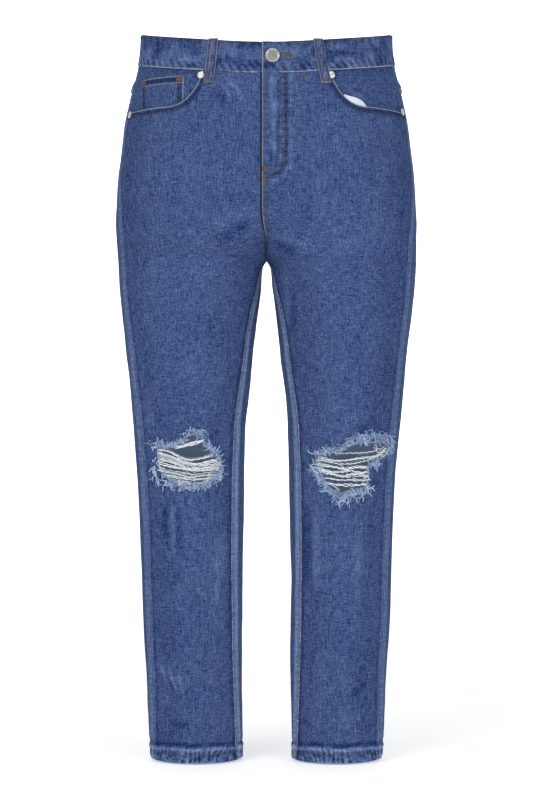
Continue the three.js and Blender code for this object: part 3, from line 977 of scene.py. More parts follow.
    def _measure(self, spot: Spot) -> None:
        """Works out the flat cut: its widest and longest measure and its area, in metres."""
        shape = (self.rows + 1, self.columns + 1)
        points = self.form.points(spot.z, self.folded(spot.z, spot.s)).reshape(*shape, 3) * MM
        across = np.linalg.norm(np.diff(points, axis=1), axis=2).sum(1)
        down = np.linalg.norm(np.diff(points, axis=0), axis=2).sum(0)
        self.flat = (float(across.max()), float(down.max()))
        a, b = points[1:, :-1] - points[:-1, :-1], points[:-1, 1:] - points[:-1, :-1]
        c, d = points[1:, :-1] - points[1:, 1:], points[:-1, 1:] - points[1:, 1:]
        area = np.linalg.norm(np.cross(a, b), axis=2) + np.linalg.norm(np.cross(c, d), axis=2)
        self.area = float(area.sum() / 2.0)

    def declare(self, rests_on: Sequence[str], with_pieces: Sequence[bpy.types.Object] = ()) -> None:
        """Logs the piece's cut size and area.

        Args:
            rests_on: Not used.
            with_pieces: Not used.
        """
        area = min(self.area, 0.999 * self.flat[0] * self.flat[1])
        list(rests_on)
        list(with_pieces)
        log.info("%s: cut %.0f x %.0f mm, %.4f square metres", self.name, *(x / MM for x in self.flat), area)


# ---------------------------------------------------------------- threads
@dataclass
class Strands:
    """Many thin threads joined in one mesh, each a closed tube along its own line."""

    name: str
    finish: Finish
    sides: int = 5
    lines: list[Array] = field(default_factory=list)
    radii: list[Array] = field(default_factory=list)
    tones: list[float] = field(default_factory=list)

    def add(self, line: Array, radius: float, tone: float, blunt: float = 0.5) -> None:
        """Adds one thread.

        Args:
            line: Its points, in millimetres.
            radius: Its radius.
            tone: From 0, dark, to 1, light.
            blunt: Radius of its ends, as a share.
        """
        thick = np.full(len(line), radius)
        thick[[0, -1]] = radius * blunt
        self.lines.append(np.asarray(line, float))
        self.radii.append(thick)
        self.tones.append(tone)

    def build(self) -> bpy.types.Object:
        """Rolls a grid round each line and joins them.

        Returns:
            The joined piece.
        """
        joined = bmesh.new()
        places, flats, tones = [], [], []
        for line, thick, tone in zip(self.lines, self.radii, self.tones, strict=True):
            bmesh.ops.create_grid(joined, x_segments=self.sides, y_segments=len(line) + 1, size=1.0)
            ring, along = self._rolled(line, thick)
            places.append(ring)
            around = np.tile(np.linspace(0.0, 1.0, self.sides + 1), len(line) + 2)
            flats.append(np.stack([np.repeat(along, self.sides + 1) * MM, around], axis=1))
            tones.append(np.full(len(ring), tone))
        mesh = poured(self.name, joined)
        mesh.vertices.foreach_set("co", (np.concatenate(places) * MM).astype(np.float32).ravel())
        lay_flat(mesh, np.concatenate(flats))
        paint(mesh, "tone", np.concatenate(tones))
        closed = bmesh.new()
        closed.from_mesh(mesh)
        bmesh.ops.remove_doubles(closed, verts=closed.verts, dist=2e-6)
        closed.to_mesh(mesh)
        closed.free()
        piece = as_object(self.name, mesh, [self.finish])
        log.info("%s: %d threads, %d faces", self.name, len(self.lines), len(mesh.polygons))
        return piece

    def _rolled(self, line: Array, thick: Array) -> tuple[Array, Array]:
        """Points of the tube round a line, closed to a point at both ends.

        Args:
            line: The thread's points.
            thick: Its radius at each.

        Returns:
            The grid's points and the length at each row.
        """
        tangent = np.gradient(line, axis=0)
        tangent /= np.maximum(np.linalg.norm(tangent, axis=1, keepdims=True), 1e-9)
        up = np.where(np.abs(tangent[:, 2:3]) < 0.9, [[0.0, 0.0, 1.0]], [[1.0, 0.0, 0.0]])
        a = np.cross(tangent, up)
        a /= np.maximum(np.linalg.norm(a, axis=1, keepdims=True), 1e-9)
        b = np.cross(tangent, a)
        for i in range(1, len(line)):
            if (a[i] * a[i - 1]).sum() < 0.0:
                a[i], b[i] = -a[i], -b[i]
        angle = np.linspace(0.0, 2.0 * math.pi, self.sides + 1)
        angle[-1] = 0.0
        circle = np.cos(angle)[None, :, None] * a[:, None] + np.sin(angle)[None, :, None] * b[:, None]
        rings = line[:, None] + circle * thick[:, None, None]
        ends = [np.repeat(line[[k]][:, None], self.sides + 1, axis=1) for k in (0, -1)]
        along = run_along(line)
        along = np.concatenate([[0.0], along, [along[-1]]])
        return np.concatenate([ends[0], rings, ends[1]]).reshape(-1, 3), along


@dataclass
class Seam:
    """Rows of topstitching on the cloth, gathered in one mesh."""

    name: str
    finish: Finish = Finish.TOPSTITCH
    radius: float = 0.52
    seed: int = 5
    strands: Strands = field(init=False)

    def __post_init__(self) -> None:
        """Starts with no stitches."""
        self.strands = Strands(self.name, self.finish, sides=5)
        self.random = np.random.default_rng(self.seed)

    def row(self, cloth: Cloth, z: Array, s: Array, pitch: float = STITCH_PITCH, share: float = 0.66) -> None:
        """Sews along a line of the cloth.

        Args:
            cloth: The piece that it is sewn on.
            z: Heights along the line.
            s: Running lengths along it.
            pitch: Length from one stitch to the next.
            share: Share of the pitch that shows as thread.
        """
        z, s = np.asarray(z, float), np.asarray(s, float)
        along = run_along(cloth.form.points(z, s))
        count = max(1, int(along[-1] / pitch))
        starts = (np.arange(count) + 0.5 * (1.0 - share)) * along[-1] / count
        shares = np.array([0.0, 0.25, 0.75, 1.0]) * share * along[-1] / count
        at = (starts[:, None] + shares[None, :]).ravel()
        point, normal = cloth.on_surface(np.interp(at, along, z), np.interp(at, along, s))
        rise = np.tile(np.array([-0.25, 0.3, 0.3, -0.25]) * self.radius * 1.6, count)
        lines = (point + normal * rise[:, None]).reshape(count, 4, 3)
        for line in lines:
            self.strands.add(line, self.radius, float(self.random.random()), 0.75)

    def tack(self, cloth: Cloth, z: float, s: float, width: float, height: float, level: bool = True) -> None:
        """Sews a bar-tack: a dense zigzag.

        Args:
            cloth: The piece that it is sewn on.
            z: Height of its middle.
            s: Running length of its middle.
            width: Its longer side.
            height: Its shorter side, along which the thread runs.
            level: Whether the longer side is level.
        """
        count = max(3, int(width / 0.75))
        for k in range(count):
            step = (k / (count - 1) - 0.5) * width
            ends = np.array([-0.5, -0.2, 0.2, 0.5]) * height
            zs, ss = z + step + 0.25 * ends, s + ends
            if level:
                zs, ss = z + ends, s + step + 0.25 * ends / height
            point, normal = cloth.on_surface(zs, ss, 0.15)
            line = point + normal * np.array([[-0.3], [0.35], [0.35], [-0.3]]) * self.radius
            self.strands.add(line, self.radius, float(self.random.random()), 0.7)

    def build(self) -> bpy.types.Object:
        """Makes the joined piece."""
        return self.strands.build()


# ---------------------------------------------------------------- panels
def side_seam(spot: Spot, out: Array) -> Array:
    """Lift beside the outer seam: its folded edge, the ridge of cloth beneath and small gathers."""
    ridge = rolled_edge(out, 1.3, 2.2) + 0.7 * (1.0 - smooth((out - 7.0) / 5.0))
    return ridge + 0.28 * puckers(spot.z, out, 8.0, 14.0, 31)


def leg_share(z: Array) -> Array:
    """1 on the legs and 0 on the body, with a soft step at the crotch."""
    return smooth((CROTCH_Z + 12.0 - z) / 20.0)


def rolled_edge(distance: Array, depth: float = 1.0, reach: float = 1.8) -> Array:
    """Drop of a folded edge, which rounds away within its reach."""
    return -depth * (1.0 - np.clip(distance / reach, 0.0, 1.0)) ** 2


def puckers(along: Array, distance: Array, pitch: float, reach: float, seed: int) -> Array:
    """Small gathers beside a line of stitching, which fade out over their reach.

    Args:
        along: Length along the stitching.
        distance: Distance from it.
        pitch: Length from one gather to the next.
        reach: Distance at which they have died out.
        seed: Number of their unevenness.

    Returns:
        Their height, from -1 to 1.
    """
    phase = along / pitch + 0.9 * wander(along / (pitch * 4.0), distance / 30.0, seed)
    size = 0.65 + 0.35 * wander(along / (pitch * 2.3), 0.5, seed + 1)
    return np.sin(2.0 * math.pi * phase) * size * smooth(1.0 - distance / reach)


MOUTH_ARC = ((86.0, -44.0), (100.0, -87.0), (132.0, -89.0))  # start, pull and end of its round stretch
MOUTH_ENDS = ((86.0, 10.0), (230.0, -92.5))  # past the waistband and past the side seam
FLY_WIDTH = 26.0
FLY_ROUND = 30.0
FLY_DROP = 11.0  # how far its stitching goes on below the opening


def mouth_line() -> list[tuple[float, float]]:
    """Pocket mouth in x and z, from the waistband down and out to the side."""
    t = np.linspace(0.0, 1.0, 15)[:, None]
    start, pull, end = (np.array(corner) for corner in MOUTH_ARC)
    bend = (1 - t) ** 2 * start + 2 * t * (1 - t) * pull + t * t * end
    return [MOUTH_ENDS[0], *map(tuple, bend.tolist()), MOUTH_ENDS[1]]


MOUTH = mouth_line()


def fly_curve(inset: float) -> list[tuple[float, float]]:
    """Line of the fly's stitching, down from the waist and round to the centre.

    Args:
        inset: How far inside the outermost row it runs.

    Returns:
        Its corners in x and z.
    """
    right, low, radius = FLY_WIDTH - inset, FLY_END_Z - FLY_DROP + inset, FLY_ROUND - inset
    bend = np.linspace(0.0, math.pi / 2.0, 14)
    round_x, round_z = right - radius + radius * np.cos(bend), low + radius - radius * np.sin(bend)
    return [(right, -44.0), *zip(round_x.tolist(), round_z.tolist(), strict=True), (-4.0, low)]


FLY_CURVE = fly_curve(0.0)


@dataclass
class Panel(Cloth):
    """A leg panel, which runs from the waist to the hem between the outer and the inner seam."""

    crowd: tuple[tuple[float, float], ...] = ()  # stretches of height with closer rows
    marked: float = 1.0  # how strongly its creases' rubbed paleness and painted shade are laid on

    def row_heights(self, top: float) -> Array:
        """Nominal heights of the rows, closer together where the detail is fine."""
        z = np.linspace(top, HEM_Z, 2000)
        density = np.ones_like(z)
        for high, low in self.crowd:
            density += 1.2 * smooth((high - z) / 10.0 + 0.5) * smooth((z - low) / 10.0 + 0.5)
        gathered = np.cumsum(density)
        return np.interp(np.linspace(gathered[0], gathered[-1], self.rows + 1), gathered, z)

    def seam_relief(self, spot: Spot, out: Array, inner: Array) -> Array:
        """Edges, felled ridges, gathers and hem that both kinds of panel share.

        Args:
            spot: The places.
            out: Distance from the outer seam.
            inner: Distance from the inner seam.

        Returns:
            Lift in millimetres.
        """
        hem = spot.z - HEM_Z
        sewn = hem - HEM_FOLD
        lift = side_seam(spot, out) + rolled_edge(inner, 1.2, 2.0) + 0.6 * (1.0 - smooth((inner - 8.0) / 4.0))
        lift += 0.3 * puckers(spot.z, inner, 7.0, 14.0, 37)
        lift += 0.75 * smooth(-sewn / 1.6 + 0.5) + rolled_edge(hem, 1.0, 2.2) - 0.5 * hump(sewn, 1.4)
        roped = self.roping(spot, hem, sewn)
        rise = sewn - 1.8 * wander(spot.s / 19.0, 0.5, 93)
        lift += 1.2 * hump(rise - 5.0, 3.2) - 0.8 * hump(rise - 10.5, 3.5)
        return lift + roped * np.where(sewn < 0.0, 0.4, 0.3)

    @staticmethod
    def roping(spot: Spot, hem: Array, sewn: Array) -> Array:
        """Slanted twist of the hem, uneven in pitch and strength.

        Args:
            spot: The places.
            hem: Height above the lower edge.
            sewn: Height above the hem's stitching.

        Returns:
            Its height, from about -1 to 1.
        """
        slanted = spot.s + 0.2 * hem + 4.5 * wander(spot.s / 14.0, hem / 18.0, 91)
        strength = 0.5 + 0.6 * wander(spot.s / 6.5, hem / 8.0, 92)
        return puckers(slanted, np.maximum(sewn, -2.0) + 2.0, 7.8, 16.0, 41) * strength

    def drape(self, spot: Spot, edge: Array) -> Array:
        """Broad unevenness of the cloth, which dies out towards the seams."""
        soft = smooth(edge / 24.0)
        lift = 1.3 * wander(spot.s / 85.0 + 7.0, spot.z / 120.0, self.seed)
        lift += 0.55 * wander(spot.s / 30.0 + 3.0, spot.z / 52.0, self.seed + 1)
        lift += 0.22 * wander(spot.s / 11.0, spot.z / 17.0, self.seed + 2)
        return lift * soft

    def fade_of(self, spot: Spot, out: Array, inner: Array) -> Array:
        """Paleness of raised cloth: puckers, hem, seams and creases, with painted shade inside the seams and
        on the sides of the leg.

        Args:
            spot: The places.
            out: Distance from the outer seam.
            inner: Distance from the inner seam.

        Returns:
            Paleness, about 0 where nothing is rubbed, and below 0 under painted shade.
        """
        hem = spot.z - HEM_Z
        sewn = hem - HEM_FOLD
        fade = 0.26 * puckers(spot.z, out, 8.0, 14.0, 31) + 0.28 * puckers(spot.z, inner, 7.0, 14.0, 37)
        fade += 0.05 * wander(spot.s / 26.0, spot.z / 40.0, self.seed + 5)
        fade += 0.06 * wander(spot.s / 7.0, spot.z / 12.0, self.seed + 6)
        roped = self.roping(spot, hem, sewn)
        mottle = wander(spot.s / 3.6, hem / 4.5, 95) * smooth((3.0 - sewn) / 4.0)
        fade += 0.85 * roped + 0.55 * mottle + 0.12 * smooth(-sewn / 2.0)
        rise = sewn - 1.8 * wander(spot.s / 19.0, 0.5, 93)
        patchy = 0.75 + 0.45 * wander(spot.s / 11.0, 2.5, 94)
        fade += (1.0 * hump(rise - 4.6, 2.8) - 0.60 * hump(rise - 10.5, 3.5)) * patchy
        fade += 0.28 * (1.0 - smooth((out - 8.0) / 2.0)) + 0.44 * (1.0 - smooth((inner - 6.5) / 2.0))
        # painted shade: a dark line just beyond the raised strip of each seam, and the leg darkened towards
        # its outer side where it rounds away
        fade -= 0.26 * hump(out - 11.5, 2.5) + 0.12 * hump(out - 30.0, 20.0) + 0.30 * hump(inner - 11.0, 2.5)
        return fade + self.marked * self.crease_wear_and_shade(spot)


@dataclass
class FrontPanel(Panel):
    """A front, with its scooped pocket mouth, its fly edge and its torn knee."""

    def row_shares(self) -> Array:
        """Nominal heights of the rows."""
        return self.row_heights(WAIST_SEAM_Z + TUCK)

    def place(self, u: Array, v: Array) -> tuple[Array, Array]:
        """Height and running length, with v as a nominal height."""
        top = WAIST_SEAM_Z
        start = self.form.inner_edge(np.array(top), self.side)
        end = self.form.out_seam(np.array(top))
        curve = waist_seam(np.abs(lerp(start, end, u)) / end)
        z = v + (curve - top) * smooth((v - LEVEL_Z) / (top - LEVEL_Z))
        z = z - HEM_DIP * np.sin(math.pi * u) * smooth((HEM_Z + 60.0 - v) / 60.0)
        tuck = TUCK if self.side < 0 else 0.0
        inner = self.form.inner_edge(z, self.side) - tuck * smooth((z - CROTCH_Z - 4.0) / 12.0)
        return z, lerp(inner, self.form.out_seam(z), u)

    def keep(self, x: Array, z: Array) -> Array:
        """Whether cloth is left: not beyond the pocket mouth and not in the tear."""
        corners = np.array(MOUTH)
        scooped = (x > MOUTH[0][0]) & (z > np.interp(x, corners[1:, 0], corners[1:, 1]))
        return super().keep(x, z) & ~scooped

    def edges(self) -> list[Sequence[tuple[float, float]]]:
        """The pocket mouth and the tear."""
        return [MOUTH, *super().edges()]

    def distances(self, spot: Spot) -> tuple[Array, Array, Array, Array]:
        """Distances from the outer seam, the inner edge, the pocket mouth and the tear."""
        flat = np.maximum(spot.x, 0.0)
        out, inner = self.form.out_seam(spot.z) - spot.s, spot.s - self.form.inner_edge(spot.z, self.side)
        mouth, torn = (polyline_distance(flat, spot.z, line)[0] for line in (MOUTH, super().edges()[0]))
        return out, inner, mouth, torn

    @staticmethod
    def inseam(spot: Spot, inner: Array) -> Array:
        """Distance from the inner edge on the legs, and never a near one above the crotch."""
        return lerp(np.maximum(inner, 30.0), inner, leg_share(spot.z))

    @staticmethod
    def above_bend(spot: Spot) -> Array:
        """1 on the fly above the bend of its stitching, and 0 below it."""
        return smooth((spot.z - FLY_END_Z - 18.0) / 12.0)

    def lift(self, spot: Spot) -> Array:
        """Relief of the front."""
        out, inner, mouth, torn = self.distances(spot)
        fly = smooth((spot.z - CROTCH_Z - 20.0) / 40.0)
        lift = self.seam_relief(spot, out, self.inseam(spot, inner))
        lift += self.drape(spot, np.minimum.reduce([out, inner, mouth, torn])) + self.creased(spot)
        lift += rolled_edge(mouth, 1.1, 2.0) + 0.6 * (1.0 - smooth((mouth - 8.0) / 3.0))
        lift += 0.22 * puckers(spot.x + spot.z, mouth, 6.0, 12.0, 43)
        lift += 0.5 * wander(spot.x / 5.0, spot.z / 5.0, 47) * hump(torn, 5.0)
        if self.side > 0:
            lap = 1.1 * (1.0 - smooth((inner - 6.0) / 5.0)) + rolled_edge(inner, 1.2, 2.0)
            lift += fly * (lap + 0.25 * puckers(spot.z, inner, 9.0, 14.0, 53))
            lift += 1.3 * hump(spot.s - 8.5, 5.0) * self.above_bend(spot)
            curve, _ = polyline_distance(spot.x, spot.z, FLY_CURVE)
            lift += 0.5 * hump(curve - 5.0, 3.0) - 0.6 * hump(curve, 1.8)
        else:
            lift -= 2.6 * fly * (1.0 - smooth((inner + 1.0) / 5.0))
        return lift

    def wear(self, spot: Spot) -> Wear:
        """Rubbed mouth, fly edge, seams and hem, painted shade in the grooves of the stitching and between
        the legs below the crotch, and painted light down the middle of the leg.
        """
        out, inner, mouth, torn = self.distances(spot)
        hem = spot.z - HEM_Z + HEM_DIP * 0.6
        above = spot.z > CROTCH_Z + 10.0
        rub = np.minimum.reduce([
            np.maximum(mouth - 0.6, 0.0), np.maximum(torn - 0.6, 0.0), np.abs(out - 1.6) + 0.55, hem + 0.3,
            np.where(above, np.abs(inner - 0.6) if self.side > 0 else FAR, np.abs(inner - 1.7) + 0.55),
        ])
        fade = self.fade_of(spot, out, self.inseam(spot, inner))
        fade += 0.30 * hump(torn, 4.0) + 0.12 * puckers(spot.x + spot.z, mouth, 6.0, 12.0, 43)
        fade -= 0.56 * smooth((mouth - 1.2) / 1.0) * smooth((9.5 - mouth) / 2.0)
        # painted light: a little lighter down the middle of the leg
        fade += 0.04 * hump(spot.x - 105.0, 60.0)
        # painted shadow on the inner edge of the leg just below the crotch, where the legs shade each other
        fade -= 0.9 * hump(inner, 4.0) * hump(spot.z + 356.0, 24.0)
        if self.side > 0:
            curve, share = polyline_distance(spot.x, spot.z, FLY_CURVE)
            streak = 0.55 + 0.45 * wander(spot.z / 13.0, spot.s / 5.0, 58)
            fade += 0.95 * hump(spot.s - 9.5, 4.0) * self.above_bend(spot) * streak
            fade -= 0.40 * hump(spot.s - 18.0, 4.0) * self.above_bend(spot) * (1.3 - streak)
            fade += 0.60 * hump(curve - 6.0, 3.0) * (0.5 + 0.5 * wander(spot.z / 9.0, spot.x / 9.0, 57))
            fade -= 0.35 * hump(curve, 3.0)
            fade += 0.30 * puckers(spot.z, np.minimum(inner, curve), 9.0, 14.0, 53) * above
        # painted shade in the grooves beside the fly, the seams, the hem's stitching and the fly's curved
        # stitching; on the underlapped front it darkens the edge that goes under the other front
        fly_row = np.abs(inner - 4.0) + 1.2 if self.side > 0 else np.maximum(inner - 1.0, 0.0)
        ditch = np.where(above, fly_row, np.abs(inner - 8.6) + 0.7)
        ditch = np.minimum(ditch, np.abs(out - 4.2) + 0.9)
        across = np.clip(inner / np.maximum(inner + out, 1.0), 0.0, 1.0)
        sewn = spot.z - HEM_Z - HEM_FOLD + HEM_DIP * np.sin(math.pi * across)
        ditch = np.minimum(ditch, np.abs(sewn) + 1.0)
        if self.side > 0:
            ditch = np.minimum(ditch, np.where(share < 0.96, curve + 0.5, FAR))
        return Wear(fade, rub, ditch)


@dataclass
class BackPanel(Panel):
    """A back, from under the yoke to the hem."""

    def row_shares(self) -> Array:
        """Nominal heights of the rows."""
        return self.row_heights(WAIST_SEAM_Z - YOKE_SIDE + TUCK)

    def place(self, u: Array, v: Array) -> tuple[Array, Array]:
        """Height and running length, with v as a nominal height."""
        top = WAIST_SEAM_Z - YOKE_SIDE
        z = v + (yoke_seam(u) - top) * smooth((v - LEVEL_Z) / (top - LEVEL_Z))
        past = np.where(z > CROTCH_Z, 0.0, self.form.inner_edge(z, self.side))
        return z, lerp(self.form.out_seam(z), self.form.ring(z) + past, u)

    def distances(self, spot: Spot) -> tuple[Array, Array]:
        """Distances from the outer seam, and from the centre back or the inseam."""
        past = np.where(spot.z > CROTCH_Z, 0.0, self.form.inner_edge(spot.z, self.side))
        return spot.s - self.form.out_seam(spot.z), self.form.ring(spot.z) + past - spot.s

    def lift(self, spot: Spot) -> Array:
        """Relief of the back."""
        out, inner = self.distances(spot)
        lift = self.seam_relief(spot, out, inner) + self.drape(spot, np.minimum(out, inner))
        return lift + self.creased(spot)

    def wear(self, spot: Spot) -> Wear:
        """Rubbed seams and hem, painted light down the middle of the leg, and painted shade beside the seams.
        """
        out, inner = self.distances(spot)
        hem = spot.z - HEM_Z
        rub = np.minimum.reduce([np.abs(out - 0.8) + 0.7, hem + 0.3, np.abs(inner - 1.0) + 0.6])
        fade = self.fade_of(spot, out, inner)
        legs = leg_share(spot.z)
        # painted light: lighter down the middle of the leg; the inseam's strip is rubbed pale
        fade += 0.10 * hump(spot.x - 100.0, 55.0) + 0.28 * legs * (1.0 - smooth((inner - 10.0) / 6.0))
        return Wear(fade, rub, np.abs(inner - 4.5) + 1.2 + 3.0 * legs)


@dataclass
class Yoke(Cloth):
    """A back yoke, which laps over the panel below it."""

    def place(self, u: Array, v: Array) -> tuple[Array, Array]:
        """Height and running length."""
        z = lerp(waist_seam(1.0 + u) + TUCK, yoke_seam(u), v)
        return z, lerp(self.form.out_seam(z), self.form.ring(z), u)

    def distances(self, spot: Spot) -> tuple[Array, Array, Array]:
        """Distances from the outer seam, the centre back and the lower edge."""
        start = self.form.out_seam(spot.z)
        ring = self.form.ring(spot.z)
        share = np.clip((spot.s - start) / (ring - start), 0.0, 1.0)
        return spot.s - start, ring - spot.s, spot.z - yoke_seam(share)

    def lift(self, spot: Spot) -> Array:
        """Relief of the yoke."""
        out, back, low = self.distances(spot)
        lift = side_seam(spot, out) + rolled_edge(back, 1.2, 2.0) + rolled_edge(low, 1.0, 1.8)
        lift += 1.4 * (1.0 - smooth((low - 10.0) / 6.0)) + 0.3 * puckers(spot.s, low, 8.0, 14.0, 61)
        edge = np.minimum.reduce([out, back, low])
        return lift + 0.5 * wander(spot.s / 40.0, spot.z / 30.0, self.seed) * smooth(edge / 16.0)

    def wear(self, spot: Spot) -> Wear:
        """Rubbed lower edge and centre seam, and painted shade along the groove above the lower edge."""
        out, back, low = self.distances(spot)
        rub = np.minimum.reduce([np.abs(out - 0.8) + 0.7, low, np.abs(back - 1.0) + 0.6])
        fade = 0.22 * puckers(spot.s, low, 8.0, 14.0, 61) + 0.2 * puckers(spot.z, out, 8.0, 14.0, 31)
        return Wear(fade, rub, np.abs(low - 4.0) + 1.4)


@dataclass
class BackPocket(Cloth):
    """Patch pocket on the seat, pointed below and hemmed on top."""

    under: BackPanel | None = None
    top: float = -84.0
    bottom: float = -232.0
    point: float = 16.0
    half_top: float = 74.0
    half_bottom: float = 64.0

    def centre(self, z: Array) -> Array:
        """Running length of its middle."""
        return lerp(self.form.out_seam(z), self.form.ring(z), 0.5)

    def place(self, u: Array, v: Array) -> tuple[Array, Array]:
        """Height and running length."""
        z = lerp(self.top, self.bottom - self.point * (1.0 - np.abs(2.0 * u - 1.0)), v)
        half = lerp(self.half_top, self.half_bottom, v)
        return z, self.centre(z) + (2.0 * u - 1.0) * half

    def distances(self, spot: Spot) -> tuple[Array, Array]:
        """Distances from the top edge, and from the nearest of the sewn edges."""
        v = np.clip((self.top - spot.z) / (self.top - self.bottom), 0.0, 1.0)
        across = np.abs(spot.s - self.centre(spot.z))
        half = lerp(self.half_top, self.half_bottom, v)
        low = spot.z - (self.bottom - self.point * (1.0 - across / self.half_bottom))
        return self.top - spot.z, np.minimum(half - across, low)

    def lift(self, spot: Spot) -> Array:
        """It lies on the seat and rounds down at its sewn edges."""
        top, sewn = self.distances(spot)
        lift = self.under.lift(spot) + 1.9 + rolled_edge(sewn, 0.9, 1.8) + rolled_edge(top, 0.5, 1.5)
        lift += 0.4 * (1.0 - smooth((sewn - 8.0) / 4.0)) + 0.5 * (1.0 - smooth((top - 14.0) / 3.0))
        return lift + 0.25 * puckers(spot.s + spot.z, np.minimum(sewn, top), 7.0, 12.0, 67)

    def wear(self, spot: Spot) -> Wear:
        """Rubbed edges, a fuller fade in the middle, and painted shade along the groove inside the sewn
        edges.
        """
        top, sewn = self.distances(spot)
        fade = 0.2 * puckers(spot.s + spot.z, np.minimum(sewn, top), 7.0, 12.0, 67)
        fade += 0.10 * smooth(sewn / 40.0) - 0.12 * hump(sewn - 4.5, 3.5)
        return Wear(fade, np.minimum(sewn, top), np.abs(sewn - 4.5) + 1.6)


@dataclass
class Waistband(Cloth):
    """Doubled band from its buried right end, round the back, to the end that buttons over it."""

    def __post_init__(self) -> None:
        """Measures the run of the band."""
        self.half = float(self.form.ring(np.array(WAIST_SEAM_Z)))
        self.side_share = float(self.form.out_seam(np.array(WAIST_SEAM_Z))) / self.half
        self.run = UNDERLAP + 2.0 * self.half + FLY_LAP

    def seam(self, signed: Array) -> Array:
        """Height of the waist seam.

        Args:
            signed: Lengths round the waist from the centre front, positive on the wearer's left.

        Returns:
            One height for each.
        """
        share = np.abs(signed) / self.half
        t = np.where(share < self.side_share, share / self.side_share,
                     1.0 + (share - self.side_share) / (1.0 - self.side_share))
        return waist_seam(t)

    def place(self, u: Array, v: Array) -> tuple[Array, Array]:
        """Height and running length. The running length goes down to minus the whole ring."""
        signed = UNDERLAP - u * self.run
        wrapped = np.where(signed < -self.half, signed + 2.0 * self.half, signed)
        z = self.seam(wrapped) + (1.0 - v) * BAND_HEIGHT
        return z, signed / self.half * self.form.ring(z)

    def figures(self, spot: Spot) -> tuple[Array, Array, Array]:
        """Run from the buried end, and heights above the seam and below the top."""
        signed = spot.s / self.form.ring(spot.z) * self.half
        wrapped = np.where(signed < -self.half, signed + 2.0 * self.half, signed)
        low = spot.z - self.seam(wrapped)
        return UNDERLAP - signed, low, BAND_HEIGHT - low

    def folded(self, z: Array, s: Array) -> Array:
        """Running length that the form can read: past the centre back it comes from the other end."""
        ring = self.form.ring(z)
        return np.where(s < -ring, s + 2.0 * ring, s)

    def lift(self, spot: Spot) -> Array:
        """Relief of the band."""
        gone, low, top = self.figures(spot)
        end = self.run - gone
        sunk = (BAND_THICK + 0.3) * (1.0 - smooth((gone - UNDERLAP - FLY_LAP) / 7.0))
        lift = BAND_PROUD + 0.3 - sunk + rolled_edge(low, 0.9, 2.0) + rolled_edge(top, 1.3, 3.0)
        lift += rolled_edge(end, 1.0, 2.0) + rolled_edge(gone, 1.0, 2.0)
        lift -= 0.35 * hump(low - 3.0, 1.3) + 0.35 * hump(top - 3.0, 1.3)
        slanted = gone - 0.7 * low
        lift += 0.5 * puckers(slanted, low, 11.0, 17.0, 71)
        lift += 0.3 * puckers(gone + 0.5 * top, top, 13.0, 13.0, 73)
        return lift + 0.3 * wander(gone / 34.0, spot.z / 16.0, 79) * smooth(np.minimum(low, top) / 8.0)

    def wear(self, spot: Spot) -> Wear:
        """Mottled gathers, a rubbed lower edge and end, a darker top edge, and painted shade in the grooves
        along the edges and the end.
        """
        gone, low, top = self.figures(spot)
        end = self.run - gone
        fade = 0.60 * puckers(gone - 0.7 * low, low - 2.0, 11.0, 19.0, 71)
        fade += 0.40 * puckers(gone + 0.5 * top, top, 13.0, 13.0, 73) - 0.30 * hump(top - 1.0, 3.0)
        fade += 0.45 * wander(gone / 16.0, spot.z / 9.0, 83) + 0.06
        fade += 0.16 * wander(gone / 5.0, spot.z / 6.0, 84)
        rub = np.minimum(low - 0.3, end - 0.4)
        ditch = np.minimum.reduce([np.abs(end - 6.0) + 1.4, np.abs(top - 0.4) + 1.0, np.abs(low - 3.2) + 1.5])
        return Wear(fade, np.maximum(rub, 0.0), ditch)


@dataclass
class BeltLoop(Cloth):
    """Belt loop that arches over the band, leaning by its slant from top to bottom."""

    band: Waistband | None = None
    share: float = 0.5
    slant: float = 0.0
    width: float = 13.5
    length: float = 60.0
    above: float = 1.5

    def place(self, u: Array, v: Array) -> tuple[Array, Array]:
        """Height and running length."""
        signed = np.array(self.share * self.band.half)
        z = self.band.seam(signed) + BAND_HEIGHT + self.above - v * self.length
        return z, self.share * self.form.ring(z) + (u - 0.5) * self.width + self.slant * v

    def figures(self, spot: Spot) -> tuple[Array, Array]:
        """Distance from the nearer long edge, and share down the loop."""
        top = float(self.band.seam(np.array(self.share * self.band.half))) + BAND_HEIGHT + self.above
        v = (top - spot.z) / self.length
        across = spot.s - self.share * self.form.ring(spot.z) - self.slant * v
        return self.width / 2.0 - np.abs(across), v

    def lift(self, spot: Spot) -> Array:
        """It stands on the band and arches between its tacked ends."""
        edge, v = self.figures(spot)
        arch = 1.5 * np.sin(math.pi * np.clip(v, 0.0, 1.0)) ** 0.8
        dent = 0.4 * (hump((v - 0.045) * self.length, 2.0) + hump((v - 0.955) * self.length, 2.0))
        lift = BAND_PROUD + 0.5 + 1.7 + arch - dent + rolled_edge(edge, 1.0, 1.8)
        lift -= 0.45 * hump(edge - 2.6, 0.9)
        return lift + rolled_edge(np.minimum(v, 1.0 - v) * self.length, 0.8, 1.5)

    def wear(self, spot: Spot) -> Wear:
        """Rubbed edges, with painted shade along the stitched line inside each."""
        edge, v = self.figures(spot)
        ends = np.minimum(v, 1.0 - v) * self.length
        fade = 0.30 * wander(spot.z / 6.0, spot.s / 4.0, self.seed) - 0.10
        return Wear(fade, np.minimum(edge + 0.55, ends + 0.4), np.abs(edge - 2.4) + 0.6)


